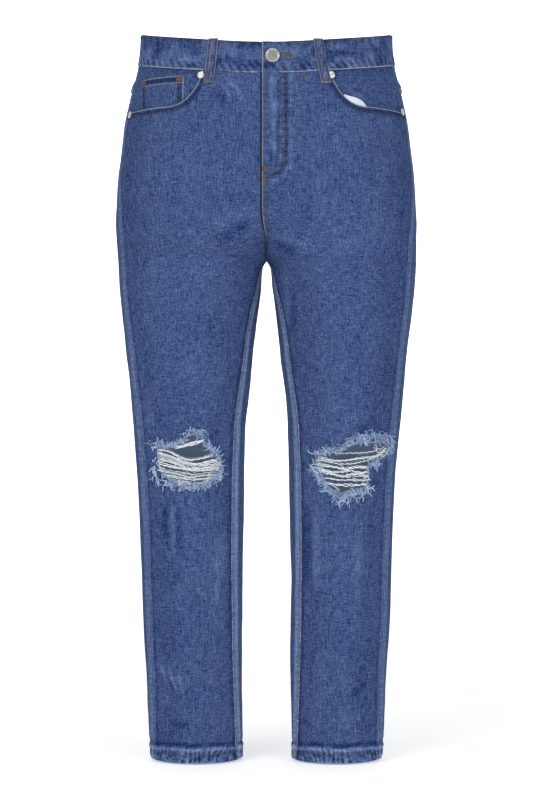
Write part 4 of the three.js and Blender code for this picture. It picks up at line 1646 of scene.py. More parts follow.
@dataclass
class FrontPatch(Cloth):
    """A patch behind the front, between two x and two heights at a depth."""

    xs: tuple[float, float] = (0.0, 1.0)
    zs: tuple[float, float] = (0.0, 1.0)
    depth: float = 2.0
    hem: float = 0.0  # depth of a turned hem along its top
    sewn: bool = False  # whether its long edges are folded and stitched

    def place(self, u: Array, v: Array) -> tuple[Array, Array]:
        """Height and running length."""
        z = lerp(self.zs[0], self.zs[1], v)
        start = np.interp(z, self._steps, self._starts)
        end = np.interp(z, self._steps, self._ends)
        return z, lerp(start, end, u)

    def __post_init__(self) -> None:
        """Finds its long edges on the form."""
        self._steps = np.linspace(min(self.zs), max(self.zs), 24)
        self._starts = self.form.length_at_x(self._steps, np.full(24, self.xs[0]))
        self._ends = self.form.length_at_x(self._steps, np.full(24, self.xs[1]))

    def distances(self, spot: Spot) -> tuple[Array, Array]:
        """Distances from the nearer long edge and from the top."""
        start = np.interp(spot.z, self._steps, self._starts)
        end = np.interp(spot.z, self._steps, self._ends)
        return np.minimum(spot.s - start, end - spot.s), self.zs[0] - spot.z

    def lift(self, spot: Spot) -> Array:
        """A flat patch with rounded edges."""
        edge, top = self.distances(spot)
        lift = -self.depth + 0.3 * wander(spot.s / 12.0, spot.z / 12.0, self.seed)
        if self.sewn:
            lift = lift + rolled_edge(edge, 0.7, 1.4) + rolled_edge(top, 0.7, 1.4)
            lift += 0.2 * puckers(spot.z, edge, 6.0, 9.0, 89) - 0.25 * hump(top - self.hem, 0.8)
        return lift + self.creased(spot)

    def wear(self, spot: Spot) -> Wear:
        """Rubbed folded edges, and painted shade along the rows of stitching."""
        edge, top = self.distances(spot)
        fade = self.crease_wear_and_shade(spot)
        if not self.sewn:
            return Wear(fade - 0.05, np.full_like(edge, FAR), np.full_like(edge, FAR))
        fade = fade + 0.25 * puckers(spot.z, edge, 6.0, 9.0, 89) + 0.6 * puckers(spot.s, top, 5.0, 12.0, 90)
        fade -= 0.75 * hump(top - 5.0, 4.5) + 0.50 * hump(edge - 4.8, 3.5)
        rub = np.minimum.reduce([
            np.maximum(edge - 0.3, 0.0), np.maximum(top - 0.5, 0.0), np.abs(top - self.hem - 0.6) + 0.4,
        ])
        rows = (edge - 2.2, edge - 7.4, top - 2.4, top - 8.4)
        ditch = np.minimum.reduce([np.abs(row) for row in rows])
        return Wear(fade, rub, ditch + 0.9)


@dataclass
class Facing(Cloth):
    """Denim that backs the pocket mouth, from under the front to the side seam."""

    start: float = 68.0
    bottom: float = -116.0
    depth: float = 2.9

    def __post_init__(self) -> None:
        """Finds its inner edge on the form."""
        self._steps = np.linspace(self.bottom, 0.0, 24)
        self._starts = self.form.length_at_x(self._steps, np.full(24, self.start))

    def place(self, u: Array, v: Array) -> tuple[Array, Array]:
        """Height and running length."""
        end = float(self.form.out_seam(np.array(WAIST_SEAM_Z)))
        begin = float(np.interp(WAIST_SEAM_Z, self._steps, self._starts))
        z = lerp(waist_seam(lerp(begin, end, u) / end) + TUCK, self.bottom, v)
        return z, lerp(np.interp(z, self._steps, self._starts), self.form.out_seam(z), u)

    def lift(self, spot: Spot) -> Array:
        """It rises to the surface at the side seam, where it is sewn in with the front."""
        out = self.form.out_seam(spot.z) - spot.s
        lift = side_seam(spot, out) - self.depth * smooth((out - 4.0) / 22.0)
        lift += 0.5 * wander(spot.s / 22.0, spot.z / 22.0, self.seed) * smooth(out / 16.0)
        return lift + self.creased(spot)

    def wear(self, spot: Spot) -> Wear:
        """A little paler on its crease ridges and darker with painted shade in their troughs, and gathered
        below the waistband.
        """
        out = self.form.out_seam(spot.z) - spot.s
        fade = self.crease_wear_and_shade(spot)
        fade = fade + 0.2 * puckers(spot.z, out, 8.0, 14.0, 31) - 0.04
        return Wear(fade, np.abs(out - 1.6) + 0.55, np.full_like(out, FAR))


@dataclass
class BagSliver(Cloth):
    """Sliver of the pocket bag that bulges out at the corner of the mouth."""

    xs: tuple[float, float] = (104.0, 136.0)
    zs: tuple[float, float] = (-74.0, -92.0)
    bulge: float = 5.0
    depth: float = 1.7

    def place(self, u: Array, v: Array) -> tuple[Array, Array]:
        """Height and running length."""
        half = self.bulge * np.sin(math.pi * u) + 0.6
        z = lerp(*self.zs, u**0.8) + lerp(half, -half, v) * 0.9
        return z, self.form.length_at_x(z, lerp(*self.xs, u) + lerp(half, -half, v))

    def lift(self, spot: Spot) -> Array:
        """It lies just under the mouth's edge."""
        return np.full(np.shape(spot.z), -self.depth)


# ---------------------------------------------------------------- metal
@dataclass
class Stud:
    """A turned piece that stands on the cloth: a profile spun round its own axis."""

    name: str
    finish: Finish
    profile: tuple[tuple[float, float], ...]
    cloth: Cloth
    x: float
    z: float
    lift: float
    facets: int = 40

    def build(self) -> bpy.types.Object:
        """Spins the profile and stands it on the cloth.

        Returns:
            The finished piece.
        """
        turned = bmesh.new()
        rim = [turned.verts.new((radius * MM, 0.0, height * MM)) for radius, height in self.profile]
        for a, b in zip(rim[:-1], rim[1:], strict=True):
            turned.edges.new((a, b))
        bmesh.ops.spin(turned, geom=[*turned.verts, *turned.edges], cent=(0, 0, 0), axis=(0, 0, 1),
                       angle=2.0 * math.pi, steps=self.facets, use_merge=True)
        bmesh.ops.remove_doubles(turned, verts=turned.verts, dist=1e-6)
        bmesh.ops.recalc_face_normals(turned, faces=turned.faces)
        s = float(self.cloth.form.length_at_x(self.z, self.x))
        point, normal = self.cloth.on_surface(np.array([self.z]), np.array([s]), self.lift)
        turn = Vector(normal[0]).to_track_quat("Z", "Y").to_matrix().to_4x4()
        stand = Matrix.Translation(Vector(point[0] * MM)) @ turn
        bmesh.ops.transform(turned, matrix=stand, verts=turned.verts)
        piece = as_object(self.name, poured(self.name, turned), [self.finish])
        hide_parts(self.name)
        return piece


# Half profiles, as radius and height.
RIVET = ((0.0, -0.6), (4.9, -0.6), (4.9, 0.25), (4.75, 0.55), (4.3, 0.85), (3.6, 1.05), (3.1, 1.05),
         (2.9, 0.85), (2.2, 0.85), (1.9, 1.15), (1.2, 1.45), (0.0, 1.55))
BUTTON = ((0.0, -0.4), (6.4, -0.4), (6.4, 1.1), (9.2, 1.25), (9.6, 1.6), (9.6, 2.2), (9.2, 2.75), (8.5, 2.95),
          (7.9, 2.8), (7.5, 2.4), (6.9, 2.25), (4.0, 2.45), (0.0, 2.6))


# ---------------------------------------------------------------- torn knees
@dataclass(frozen=True)
class Bundle:
    """Bared weft threads that run together across a tear, as x and z from one edge to the other."""

    line: tuple[tuple[float, float], ...]
    count: int
    spread: float
    radius: float = 0.5
    wave: float = 0.6


@dataclass(frozen=True)
class Tuft:
    """Frayed warp ends along an edge: roots, mean direction, length and number."""

    roots: tuple[tuple[float, float], ...]
    toward: tuple[float, float]
    length: float
    count: int
    curl: float = 1.0
    pale: float = 0.5


@dataclass
class Tear:
    """Everything loose at one knee."""

    front: FrontPanel
    name: str
    bundles: tuple[Bundle, ...]
    tufts: tuple[Tuft, ...]
    frizz: tuple[tuple[float, float, float, float, int], ...]
    seed: int

    def build(self) -> list[bpy.types.Object]:
        """Makes the threads and the fringe.

        Returns:
            The two joined pieces.
        """
        return [self._threads(), self._fringe()]

    def _on_front(self, x: Array, z: Array, above: Array) -> Array:
        """Points over the front, in millimetres.

        Args:
            x: Distances from the middle.
            z: Heights.
            above: How far out from the form.

        Returns:
            One point for each, on the front's own side.
        """
        s = self.front.form.length_at_x(z, x)
        normal = self.front.form.normals(z, s)
        point = self.front.form.points(z, s) + normal * above[:, None]
        return point * np.array([self.front.side, 1.0, 1.0])

    def _threads(self) -> bpy.types.Object:
        """Bared weft threads, wavy as they come out of the weave, some of them dark as painted shade between
        the bundles.
        """
        random = np.random.default_rng(self.seed)
        weft = Strands(f"knee_threads_{self.name}_weft", Finish.WEFT, sides=6)
        for bundle in self.bundles:
            corners = np.array(bundle.line, float)
            gone = run_along(corners)
            steps = max(10, int(gone[-1] / 2.4))
            t = np.linspace(0.0, 1.0, steps)
            x, z = (self._eased(t * gone[-1], gone, corners[:, axis]) for axis in (0, 1))
            for k in range(bundle.count):
                side = (k - (bundle.count - 1) / 2.0) * bundle.spread + random.normal(0.0, 0.35)
                phase, pitch = random.uniform(0.0, 2.0 * math.pi), random.uniform(5.5, 11.0)
                run = t * gone[-1]
                turn = 2.0 * math.pi * run / pitch + phase
                crimp = np.sin(turn + 1.2 * np.sin(run / 7.0 + phase))
                slow = np.sin(2.0 * math.pi * t * random.uniform(0.8, 2.4) + phase * 1.7)
                neat = np.sin(math.pi * t) ** 0.4
                height = random.uniform(-1.3, 0.5) + 0.55 * np.cos(turn) - 1.1 * (1 - neat)
                sway = (bundle.wave * crimp + 0.7 * slow) * (0.35 + 0.65 * neat)
                line = self._on_front(x, z + side + sway, height)
                radius = bundle.radius * random.uniform(1.0, 1.5)
                # a sixth of the threads are dark grey: painted shade between the bundles
                weft.add(line, radius, float(random.choice([0.15, 0.9, 1.0, 1.0, 1.0, 1.0])))
        for x0, z0, reach_x, reach_z, count in self.frizz:
            for _ in range(count):
                x1, z1 = x0 + random.uniform(-reach_x, reach_x), z0 + random.uniform(-reach_z, reach_z)
                heading = random.choice([0.0, math.pi]) + random.normal(0.0, 0.5)
                x, z = self._curl(random, x1, z1, heading, random.uniform(5.0, 12.0), 0.30, 12)
                height = random.uniform(-0.4, 1.4) + 0.6 * np.sin(np.linspace(0.0, 5.0, 12) + x1)
                radius, tone = random.uniform(0.34, 0.56), float(random.uniform(0.7, 1.0))
                weft.add(self._on_front(x, z, height), radius, tone)
        piece = weft.build()
        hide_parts(f"knee_threads_{self.name}")
        return piece

    @staticmethod
    def _eased(at: Array, knots: Array, values: Array) -> Array:
        """Reads a polyline with its corners rounded.

        Args:
            at: Lengths to read it at.
            knots: Lengths at its corners.
            values: Coordinate of each corner.

        Returns:
            The coordinate at each length.
        """
        fine = np.linspace(knots[0], knots[-1], 61)
        dense = np.interp(fine, knots, values)
        padded = np.concatenate([np.full(4, dense[0]), dense, np.full(4, dense[-1])])
        rounded = np.convolve(padded, np.ones(9) / 9.0, "valid")
        return np.interp(at, fine, rounded)

    @staticmethod
    def _curl(random: np.random.Generator, x: float, z: float, heading: float, length: float, curl: float,
              count: int) -> tuple[Array, Array]:
        """A curled path from a root.

        Args:
            random: Source of chance.
            x: Root's x.
            z: Root's height.
            heading: Direction in which it sets out, in radians from +x.
            length: Its length.
            curl: How fast it turns, in radians for each millimetre.
            count: Number of its points.

        Returns:
            x and z along it.
        """
        step = length / (count - 1)
        gone = np.arange(count - 1) * step
        bend = random.normal(0.0, curl * 0.8)
        strength, pitch, phase = (random.uniform(*span) for span in ((0.4, 1.5), (0.35, 0.9), (0.0, 6.3)))
        turns = np.cumsum((bend + curl * strength * np.sin(gone * pitch + phase)) * step) + heading
        x = x + np.concatenate([[0.0], np.cumsum(np.cos(turns) * step)])
        z = z + np.concatenate([[0.0], np.cumsum(np.sin(turns) * step)])
        return x, z

    def _fringe(self) -> bpy.types.Object:
        """Frayed warp ends, curled over the cloth round the tear."""
        random = np.random.default_rng(self.seed + 1)
        blue = Strands(f"fringe_{self.name}", Finish.FRINGE, sides=5)
        for tuft in self.tufts:
            corners = np.array(tuft.roots, float)
            gone = run_along(corners)
            for _ in range(tuft.count):
                at = random.uniform(0.0, gone[-1])
                x0, z0 = (np.interp(at, gone, corners[:, axis]) for axis in (0, 1))
                heading = math.atan2(tuft.toward[1], tuft.toward[0]) + random.normal(0.0, 0.35)
                length = tuft.length * random.uniform(0.5, 1.25)
                x, z = self._curl(random, x0, z0, heading, length, 0.20 * tuft.curl, 13)
                t = np.linspace(0.0, 1.0, 13)
                height = 0.3 + random.uniform(0.6, 3.2) * np.sin(math.pi * t * random.uniform(0.45, 0.95))
                tone = float(np.clip(random.normal(tuft.pale - 0.05, 0.32), 0.0, 1.0))
                blue.add(self._on_front(x, z, height), random.uniform(0.34, 0.66), tone, 0.4)
        return blue.build()


# ---------------------------------------------------------------- the garment
RIGHT_CREASES = (
    Crease(((12, -240), (40, -255), (72, -276)), -1.2, 7.0),
    Crease(((10, -226), (44, -238), (80, -252)), 0.8, 7.0),
    Crease(((137, -612), (138, -650), (136, -690)), -1.2, 5.0),
    Crease(((128, -612), (127, -652), (125, -700)), 1.1, 4.5),
    Crease(((120, -616), (119, -660), (117, -705)), -1.1, 4.5),
    Crease(((64, -58), (54, -68), (46, -84)), 0.9, 2.2, 0.55),
    Crease(((58, -54), (40, -66), (26, -92)), 0.9, 2.6, 0.5),
    Crease(((66, -66), (58, -82), (54, -98)), -0.8, 4.0, 0.4),
    Crease(((60, -52), (40, -57), (22, -62)), 0.7, 2.2, 0.5),
    Crease(((134, -922), (118, -925), (102, -924)), -1.3, 4.0),
    Crease(((143, -852), (130, -872), (114, -892)), -0.9, 6.0),
    Crease(((150, -836), (132, -858), (112, -872)), 0.7, 6.0),
    Crease(((60, -640), (66, -720), (70, -800)), 0.8, 8.0),
    Crease(((148, -836), (139, -858), (129, -882)), 0.9, 2.6, 0.5),
    Crease(((135, -840), (128, -862), (121, -886)), 0.9, 2.4, 0.5),
    Crease(((122, -846), (117, -866), (113, -888)), 0.8, 2.4, 0.5),
    Crease(((160, -470), (158, -510), (150, -535)), 0.8, 7.0),
    Crease(((60, -520), (70, -530), (80, -534)), -0.9, 5.0),
)
LEFT_CREASES = (
    Crease(((6, -268), (24, -278), (42, -286)), -1.4, 4.5),
    Crease(((4, -256), (30, -266), (60, -280)), 0.8, 5.0),
    Crease(((22, -296), (27, -340), (31, -390)), 1.3, 5.0),
    Crease(((30, -320), (34, -360), (35, -402)), -1.2, 4.5),
    Crease(((67, -615), (66, -680), (66, -755)), 1.3, 6.0),
    Crease(((57, -612), (56, -680), (57, -750)), -1.1, 6.0),
    Crease(((124, -655), (124, -710), (123, -770)), 0.9, 6.0),
    Crease(((44, -919), (54, -924), (63, -929)), -1.2, 4.0),
    Crease(((140, -860), (124, -880), (110, -890)), -0.9, 6.0),
    Crease(((138, -905), (120, -915), (98, -914)), 0.9, 5.0),
    Crease(((150, -500), (140, -515), (120, -524)), -1.0, 6.0),
    Crease(((60, -540), (50, -550), (44, -566)), 0.8, 5.0),
    Crease(((30, -70), (34, -110), (30, -150)), -0.7, 3.5),
)
BACK_CREASES = (
    Crease(((20, -262), (70, -282), (130, -276)), -2.0, 9.0),
    Crease(((24, -246), (76, -262), (140, -258)), 1.1, 9.0),
    Crease(((40, -300), (90, -306), (150, -292)), -1.2, 8.0),
    Crease(((45, -548), (100, -560), (160, -546)), -2.6, 8.0),
    Crease(((45, -570), (100, -582), (160, -572)), 1.6, 8.0),
    Crease(((50, -596), (110, -604), (158, -590)), -2.2, 8.0),
    Crease(((48, -524), (104, -530), (164, -520)), 1.3, 9.0),
    Crease(((60, -628), (110, -632), (150, -622)), -1.3, 9.0),
    Crease(((52, -860), (100, -872), (148, -858)), -1.2, 9.0),
    Crease(((56, -905), (96, -916), (144, -904)), -1.4, 7.0),
    Crease(((110, -330), (118, -420), (112, -500)), 1.1, 12.0),
)
FACING_CREASES = (
    Crease(((100, -58), (118, -72), (138, -80)), 1.3, 3.0, 0.2),
    Crease(((104, -68), (120, -80), (136, -86)), -0.9, 3.0, 0.2),
)

RIGHT_BUNDLES = (
    Bundle(((126, -545), (116, -545), (104, -542), (90, -538), (82, -536)), 4, 0.9, 0.5, 0.3),
    Bundle(((150, -548), (134, -550), (120, -558), (104, -563), (86, -560), (70, -555)), 4, 0.95),
    Bundle(((150, -554), (130, -558), (112, -567), (92, -569), (64, -563)), 4, 1.0),
    Bundle(((150, -560), (128, -565), (104, -574), (62, -569)), 4, 1.05),
    Bundle(((150, -567), (130, -572), (100, -578), (62, -575)), 4, 1.0),
    Bundle(((150, -574), (128, -579), (104, -584), (64, -581)), 4, 1.05),
    Bundle(((148, -582), (124, -586), (98, -590), (70, -587)), 4, 0.9),
    Bundle(((146, -589), (124, -593), (98, -596), (76, -593)), 4, 0.9),
)
RIGHT_TUFTS = (
    Tuft(((108, -530), (100, -528), (86, -530), (84, -534)), (0.1, 1.0), 11.0, 34, 1.9, 0.6),
    Tuft(((110, -522), (96, -520), (82, -523)), (-0.2, -1.0), 8.0, 20, 1.6, 0.55),
    Tuft(((136, -540), (122, -537), (110, -533)), (0.1, -1.0), 9.0, 34, 1.0, 0.7),
    Tuft(((128, -545), (118, -541), (110, -537)), (0.2, 1.0), 7.0, 22, 1.2, 0.6),
    Tuft(((152, -548), (142, -545), (134, -544)), (0.3, 0.95), 11.0, 34, 1.8, 0.55),
    Tuft(((156, -540), (146, -538)), (-0.1, -1.0), 11.0, 18, 1.6, 0.5),
    Tuft(((84, -538), (80, -546), (68, -553)), (-0.8, -0.3), 11.0, 46, 1.6, 0.6),
    Tuft(((66, -556), (62, -566), (63, -578)), (-0.7, -0.3), 7.0, 24, 2.0, 0.8),
    Tuft(((140, -593), (128, -595), (106, -598), (84, -597), (78, -594)), (0.0, -1.0), 13.0, 84, 2.6, 0.6),
    Tuft(((76, -592), (68, -586), (64, -580)), (-0.7, -0.7), 12.0, 30, 1.8, 0.65),
    Tuft(((151, -570), (150, -580), (146, -591)), (0.15, -1.0), 13.0, 16, 0.5, 0.85),
)
RIGHT_FRIZZ = ((66, -566, 5, 12, 14), (146, -566, 4, 18, 12), (106, -578, 34, 14, 14), (98, -593, 26, 4, 10))
LEFT_BUNDLES = (
    Bundle(((90, -556), (117, -554), (141, -554), (155, -550), (164, -546)), 2, 1.1, 0.55, 0.5),
    Bundle(((66, -558), (88, -564), (110, -564), (131, -561), (148, -559), (163, -550)), 3, 1.0, 0.5, 0.6),
    Bundle(((66, -563), (96, -569), (117, -568), (141, -564), (158, -556)), 2, 1.2, 0.55, 0.6),
    Bundle(((66, -569), (86, -572), (105, -575), (122, -573), (140, -574)), 3, 1.0, 0.5, 0.8),
    Bundle(((66, -573), (84, -578), (102, -580), (114, -577), (127, -580), (140, -580)), 2, 1.1, 0.55, 0.9),
    Bundle(((69, -577), (90, -583), (105, -585), (119, -582), (140, -586)), 2, 1.1, 0.55, 0.8),
    Bundle(((76, -588), (102, -590), (117, -591), (140, -590)), 2, 1.1, 0.5, 0.7),
    Bundle(((78, -594), (102, -597), (119, -597), (139, -596)), 2, 1.1, 0.5, 0.7),
    Bundle(((98, -610), (110, -605), (124, -602), (139, -601)), 3, 1.0, 0.5, 0.4),
    Bundle(((76, -596), (90, -597), (97, -603), (100, -610)), 1, 1.0, 0.45, 0.3),
    Bundle(((92, -566), (104, -572), (110, -582), (124, -586)), 1, 1.0, 0.42, 0.5),
)
LEFT_TUFTS = (
    Tuft(((102, -546), (108, -538), (118, -533)), (-0.1, -1.0), 10.0, 40, 1.1, 0.6),
    Tuft(((116, -531), (130, -528), (150, -527), (166, -529)), (0.0, -1.0), 15.0, 104, 1.0, 0.55),
    Tuft(((104, -540), (126, -533), (164, -531)), (0.1, 1.0), 6.5, 40, 1.8, 0.5),
    Tuft(((168, -530), (170, -540), (168, -552)), (0.1, -1.0), 9.0, 26, 1.0, 0.7),
    Tuft(((66, -552), (78, -548), (96, -545)), (0.3, -1.0), 11.0, 64, 1.2, 0.55),
    Tuft(((66, -556), (80, -551), (98, -548)), (-0.3, 0.9), 10.0, 34, 1.7, 0.5),
    Tuft(((66, -570), (70, -580), (76, -588)), (-0.6, -0.8), 11.0, 36, 1.4, 0.65),
    Tuft(((76, -592), (82, -600), (98, -610)), (-0.2, -1.0), 13.0, 46, 1.2, 0.6),
    Tuft(((98, -611), (114, -607), (130, -604)), (0.1, -1.0), 18.0, 52, 0.8, 0.6),
    Tuft(((130, -603), (140, -598)), (0.5, -0.9), 13.0, 18, 0.9, 0.65),
    Tuft(((139, -567), (148, -566), (154, -563)), (0.1, -1.0), 11.0, 26, 1.4, 0.65),
)
LEFT_FRIZZ = ((157, -552, 7, 7, 14), (68, -566, 3, 9, 8), (135, -588, 3, 12, 8), (104, -580, 26, 12, 4))


@dataclass
class Jeans:
    """The whole garment, sewn piece by piece."""

    form: Form = field(default_factory=Form)
    pieces: dict[str, Cloth] = field(default_factory=dict)

    def sew(self) -> None:
        """Builds every sub-assembly in the order that a maker would."""
        self.panels()
        self.band()
        self.pockets()
        self.fly()
        self.knees()
        self.stitching()
        self.metal()

    def _add(self, cloth: Cloth, *nodes: str, slot: str = "denim") -> Cloth:
        """Builds a piece and remembers it by name."""
        cloth.build(*nodes, slot=slot)
        self.pieces[cloth.name] = cloth
        return cloth

    def panels(self) -> None:
        """Fronts, backs and yokes."""
        rows_close = ((-10.0, -120.0), (-515.0, -615.0), (-935.0, -980.0))
        for name, side, torn, creases, seed in (
            ("left", 1, TORN_LEFT, LEFT_CREASES, 11), ("right", -1, TORN_RIGHT, RIGHT_CREASES, 17),
        ):
            self._add(FrontPanel(
                self.form, f"denim_front_{name}", side, columns=116, rows=380, creases=creases, seed=seed,
                holes=(torn,), crowd=rows_close), f"front_{name}")
            self._add(BackPanel(
                self.form, f"denim_back_{name}", side, columns=84, rows=290, creases=BACK_CREASES,
                seed=seed + 50, crowd=((-935.0, -980.0),), marked=0.35), f"back_{name}")
            yoke = Yoke(self.form, f"denim_yoke_{name}", side, columns=90, rows=24, seed=seed)
            self._add(yoke, f"yoke_{name}")

    def band(self) -> None:
        """Waistband and belt loops."""
        band = Waistband(self.form, "denim_waistband", columns=560, rows=24, thick=BAND_THICK - 0.3,
                         backward=True)
        self._add(band, "waistband")
        for name, side, share, slant in (
            ("front_left", 1, 0.148, 5.0), ("front_right", -1, 0.153, 0.0), ("side_left", 1, 0.66, 0.0),
            ("side_right", -1, 0.66, 0.0), ("back", 1, 1.0, 0.0),
        ):
            loop = BeltLoop(
                self.form, f"denim_loop_{name}", side, columns=14, rows=44, thick=1.4,
                finish=Finish.DENIM_PALE, band=band, share=share, slant=slant, seed=len(self.pieces))
            self._add(loop, f"belt_loop_{name}", slot="denim_worn")

    def pockets(self) -> None:
        """Facings, coin pocket, bag and patch pockets."""
        for name, side, creases in (("left", 1, FACING_CREASES), ("right", -1, ())):
            self._add(Facing(self.form, f"denim_facing_{name}", side, columns=60, rows=48, creases=creases,
                             thick=1.0, seed=23 + side), f"pocket_facing_{name}")
            self._add(BackPocket(self.form, f"denim_back_pocket_{name}", side, columns=72, rows=72,
                                 under=self.pieces[f"denim_back_{name}"]), f"back_pocket_{name}")
        coin = FrontPatch(
            self.form, "denim_coin_pocket", -1, columns=30, rows=30, xs=(112.0, 171.0), zs=(-47.0, -106.0),
            depth=1.9, hem=9.0, sewn=True, thick=0.9, seed=29)
        self._add(coin, "coin_pocket")
        bag = BagSliver(self.form, "pocket_bag", 1, columns=24, rows=8, thick=0.7, finish=Finish.POCKETING)
        self._add(bag, "pocket_bag_left", slot="pocketing")

    def fly(self) -> None:
        """Zip tape and shield, out of sight behind the fly."""
        tape = FrontPatch(
            self.form, "fly_zip_tape", 1, columns=8, rows=30, xs=(-14.0, 12.0), zs=(FLY_TOP_Z, FLY_END_Z),
            depth=4.2, thick=0.8, finish=Finish.TAPE)
        self._add(tape, "zip", slot="zip_tape")
        shield = FrontPatch(
            self.form, "denim_fly_shield", 1, columns=12, rows=30, xs=(-18.0, 26.0),
            zs=(FLY_TOP_Z, FLY_END_Z), depth=5.6, thick=1.4)
        self._add(shield, "fly_shield")

    def knees(self) -> None:
        """Bared threads and fringes."""
        self.loose: dict[str, list[bpy.types.Object]] = {}
        for name, bundles, tufts, frizz, seed in (
            ("right", RIGHT_BUNDLES, RIGHT_TUFTS, RIGHT_FRIZZ, 101),
            ("left", LEFT_BUNDLES, LEFT_TUFTS, LEFT_FRIZZ, 107),
        ):
            front = self.pieces[f"denim_front_{name}"]
            self.loose[name] = Tear(front, name, bundles, tufts, frizz, seed).build()

    def stitching(self) -> None:
        """Topstitching, bar-tacks and the buttonhole."""
        sewn = {}
        for name, side in (("left", 1), ("right", -1)):
            front, back = self.pieces[f"denim_front_{name}"], self.pieces[f"denim_back_{name}"]
            yoke, pocket = self.pieces[f"denim_yoke_{name}"], self.pieces[f"denim_back_pocket_{name}"]
            seam = Seam(f"stitches_front_{name}", seed=side + 7)
            self._mouth(seam, front)
            self._hem(seam, front, back)
            if side > 0:
                self._fly_stitches(seam, front)
            self._yoke_and_seat(seam, yoke, back)
            self._patch(seam, pocket)
            sewn[name] = [seam.build()]
            pale = Seam(f"stitches_inseam_{name}", Finish.PALE_STITCH, seed=side + 9)
            z = np.linspace(CROTCH_Z - 4.0, HEM_Z + HEM_FOLD, 200)
            pale.row(front, z, self.form.inner_edge(z, side) + 7.0)
            sewn[name].append(pale.build())
        self.sewn = sewn
        self._band_stitches()
        self._loop_stitches()
        self._coin_stitches()

    def _mouth(self, seam: Seam, front: FrontPanel) -> None:
        """Two rows below the pocket mouth."""
        corners = np.array(MOUTH[1:])
        run = run_along(corners)
        for inset in (2.2, 7.4):
            at = np.linspace(0.0, run[-1] - 42.0, 90)
            x, z = (np.interp(at, run, corners[:, axis]) for axis in (0, 1))
            heading = np.arctan2(np.gradient(z), np.gradient(x))
            x, z = x + inset * np.sin(heading), z - inset * np.cos(heading)
            s = self.form.length_at_x(z, x)
            fits = (s < self.form.out_seam(z) - 2.0) & (z < waist_seam(s / self.form.out_seam(z)) - 1.0)
            seam.row(front, z[fits], s[fits])

    def _hem(self, seam: Seam, front: FrontPanel, back: BackPanel) -> None:
        """One row round the hem's fold."""
        u = np.linspace(0.0, 1.0, 80)
        z = np.full(80, HEM_Z + HEM_FOLD)
        dipped = z - HEM_DIP * np.sin(math.pi * u)
        start, end = self.form.inner_edge(z, front.side), self.form.out_seam(z)
        seam.row(front, dipped, lerp(start + 1.0, end - 1.0, u))
        seam.row(back, z, lerp(end + 1.0, self.form.ring(z) + start - 1.0, u))

    def _fly_stitches(self, seam: Seam, front: FrontPanel) -> None:
        """Two curved rows beside the fly, its edge row and its tacks."""
        for inset in (0.0, 5.2):
            corners = np.array(fly_curve(inset))
            run = run_along(corners)
            x, z = (np.interp(np.linspace(3.0, run[-1] - 2.0, 90), run, corners[:, axis]) for axis in (0, 1))
            seam.row(front, z, self.form.length_at_x(z, x))
        z = np.linspace(-58.0, FLY_END_Z + 4.0, 80)
        seam.row(front, z, self.form.inner_edge(z, 1) + 2.4)
        low = np.linspace(FLY_END_Z - 14.0, CROTCH_Z + 6.0, 80)
        for inset in (2.2, 7.0):
            seam.row(front, low, self.form.inner_edge(low, 1) + inset)

    def _yoke_and_seat(self, seam: Seam, yoke: Yoke, back: BackPanel) -> None:
        """Two rows above the yoke's seam, and two beside the centre back on the left."""
        u = np.linspace(0.01, 0.99, 80)
        for inset in (2.0, 7.6):
            z = yoke_seam(u) + inset
            seam.row(yoke, z, lerp(self.form.out_seam(z), self.form.ring(z), u))
        if yoke.side > 0:
            for inset in (2.0, 7.4):
                top, low = float(waist_seam(np.array(2.0))), float(yoke_seam(np.array(1.0)))
                z = np.linspace(low - 1.0, CROTCH_Z + 4.0, 120)
                seam.row(back, z, self.form.ring(z) - inset)
                z = np.linspace(top - 1.0, low + 1.0, 30)
                seam.row(yoke, z, self.form.ring(z) - inset)

    def _patch(self, seam: Seam, pocket: BackPocket) -> None:
        """Two rows inside the sewn edges and two along the top hem."""
        for inset in (2.0, 8.0):
            v = np.linspace(0.02, 1.0, 60)
            z = lerp(pocket.top, pocket.bottom, v)
            half = lerp(pocket.half_top, pocket.half_bottom, v) - inset
            bottom = pocket.bottom + inset * 1.1
            across = np.concatenate([-half, np.linspace(-half[-1], half[-1], 41)[1:-1], half[::-1]])
            point = bottom - pocket.point * (1.0 - np.abs(across[60:-60]) / pocket.half_bottom)
            heights = np.concatenate([np.maximum(z, bottom), point, np.maximum(z, bottom)[::-1]])
            seam.row(pocket, heights, pocket.centre(heights) + across)
        for inset in (2.2, 14.0):
            across = np.linspace(-pocket.half_top + 3.0, pocket.half_top - 3.0, 60)
            z = np.full(60, pocket.top - inset)
            seam.row(pocket, z, pocket.centre(z) + across)

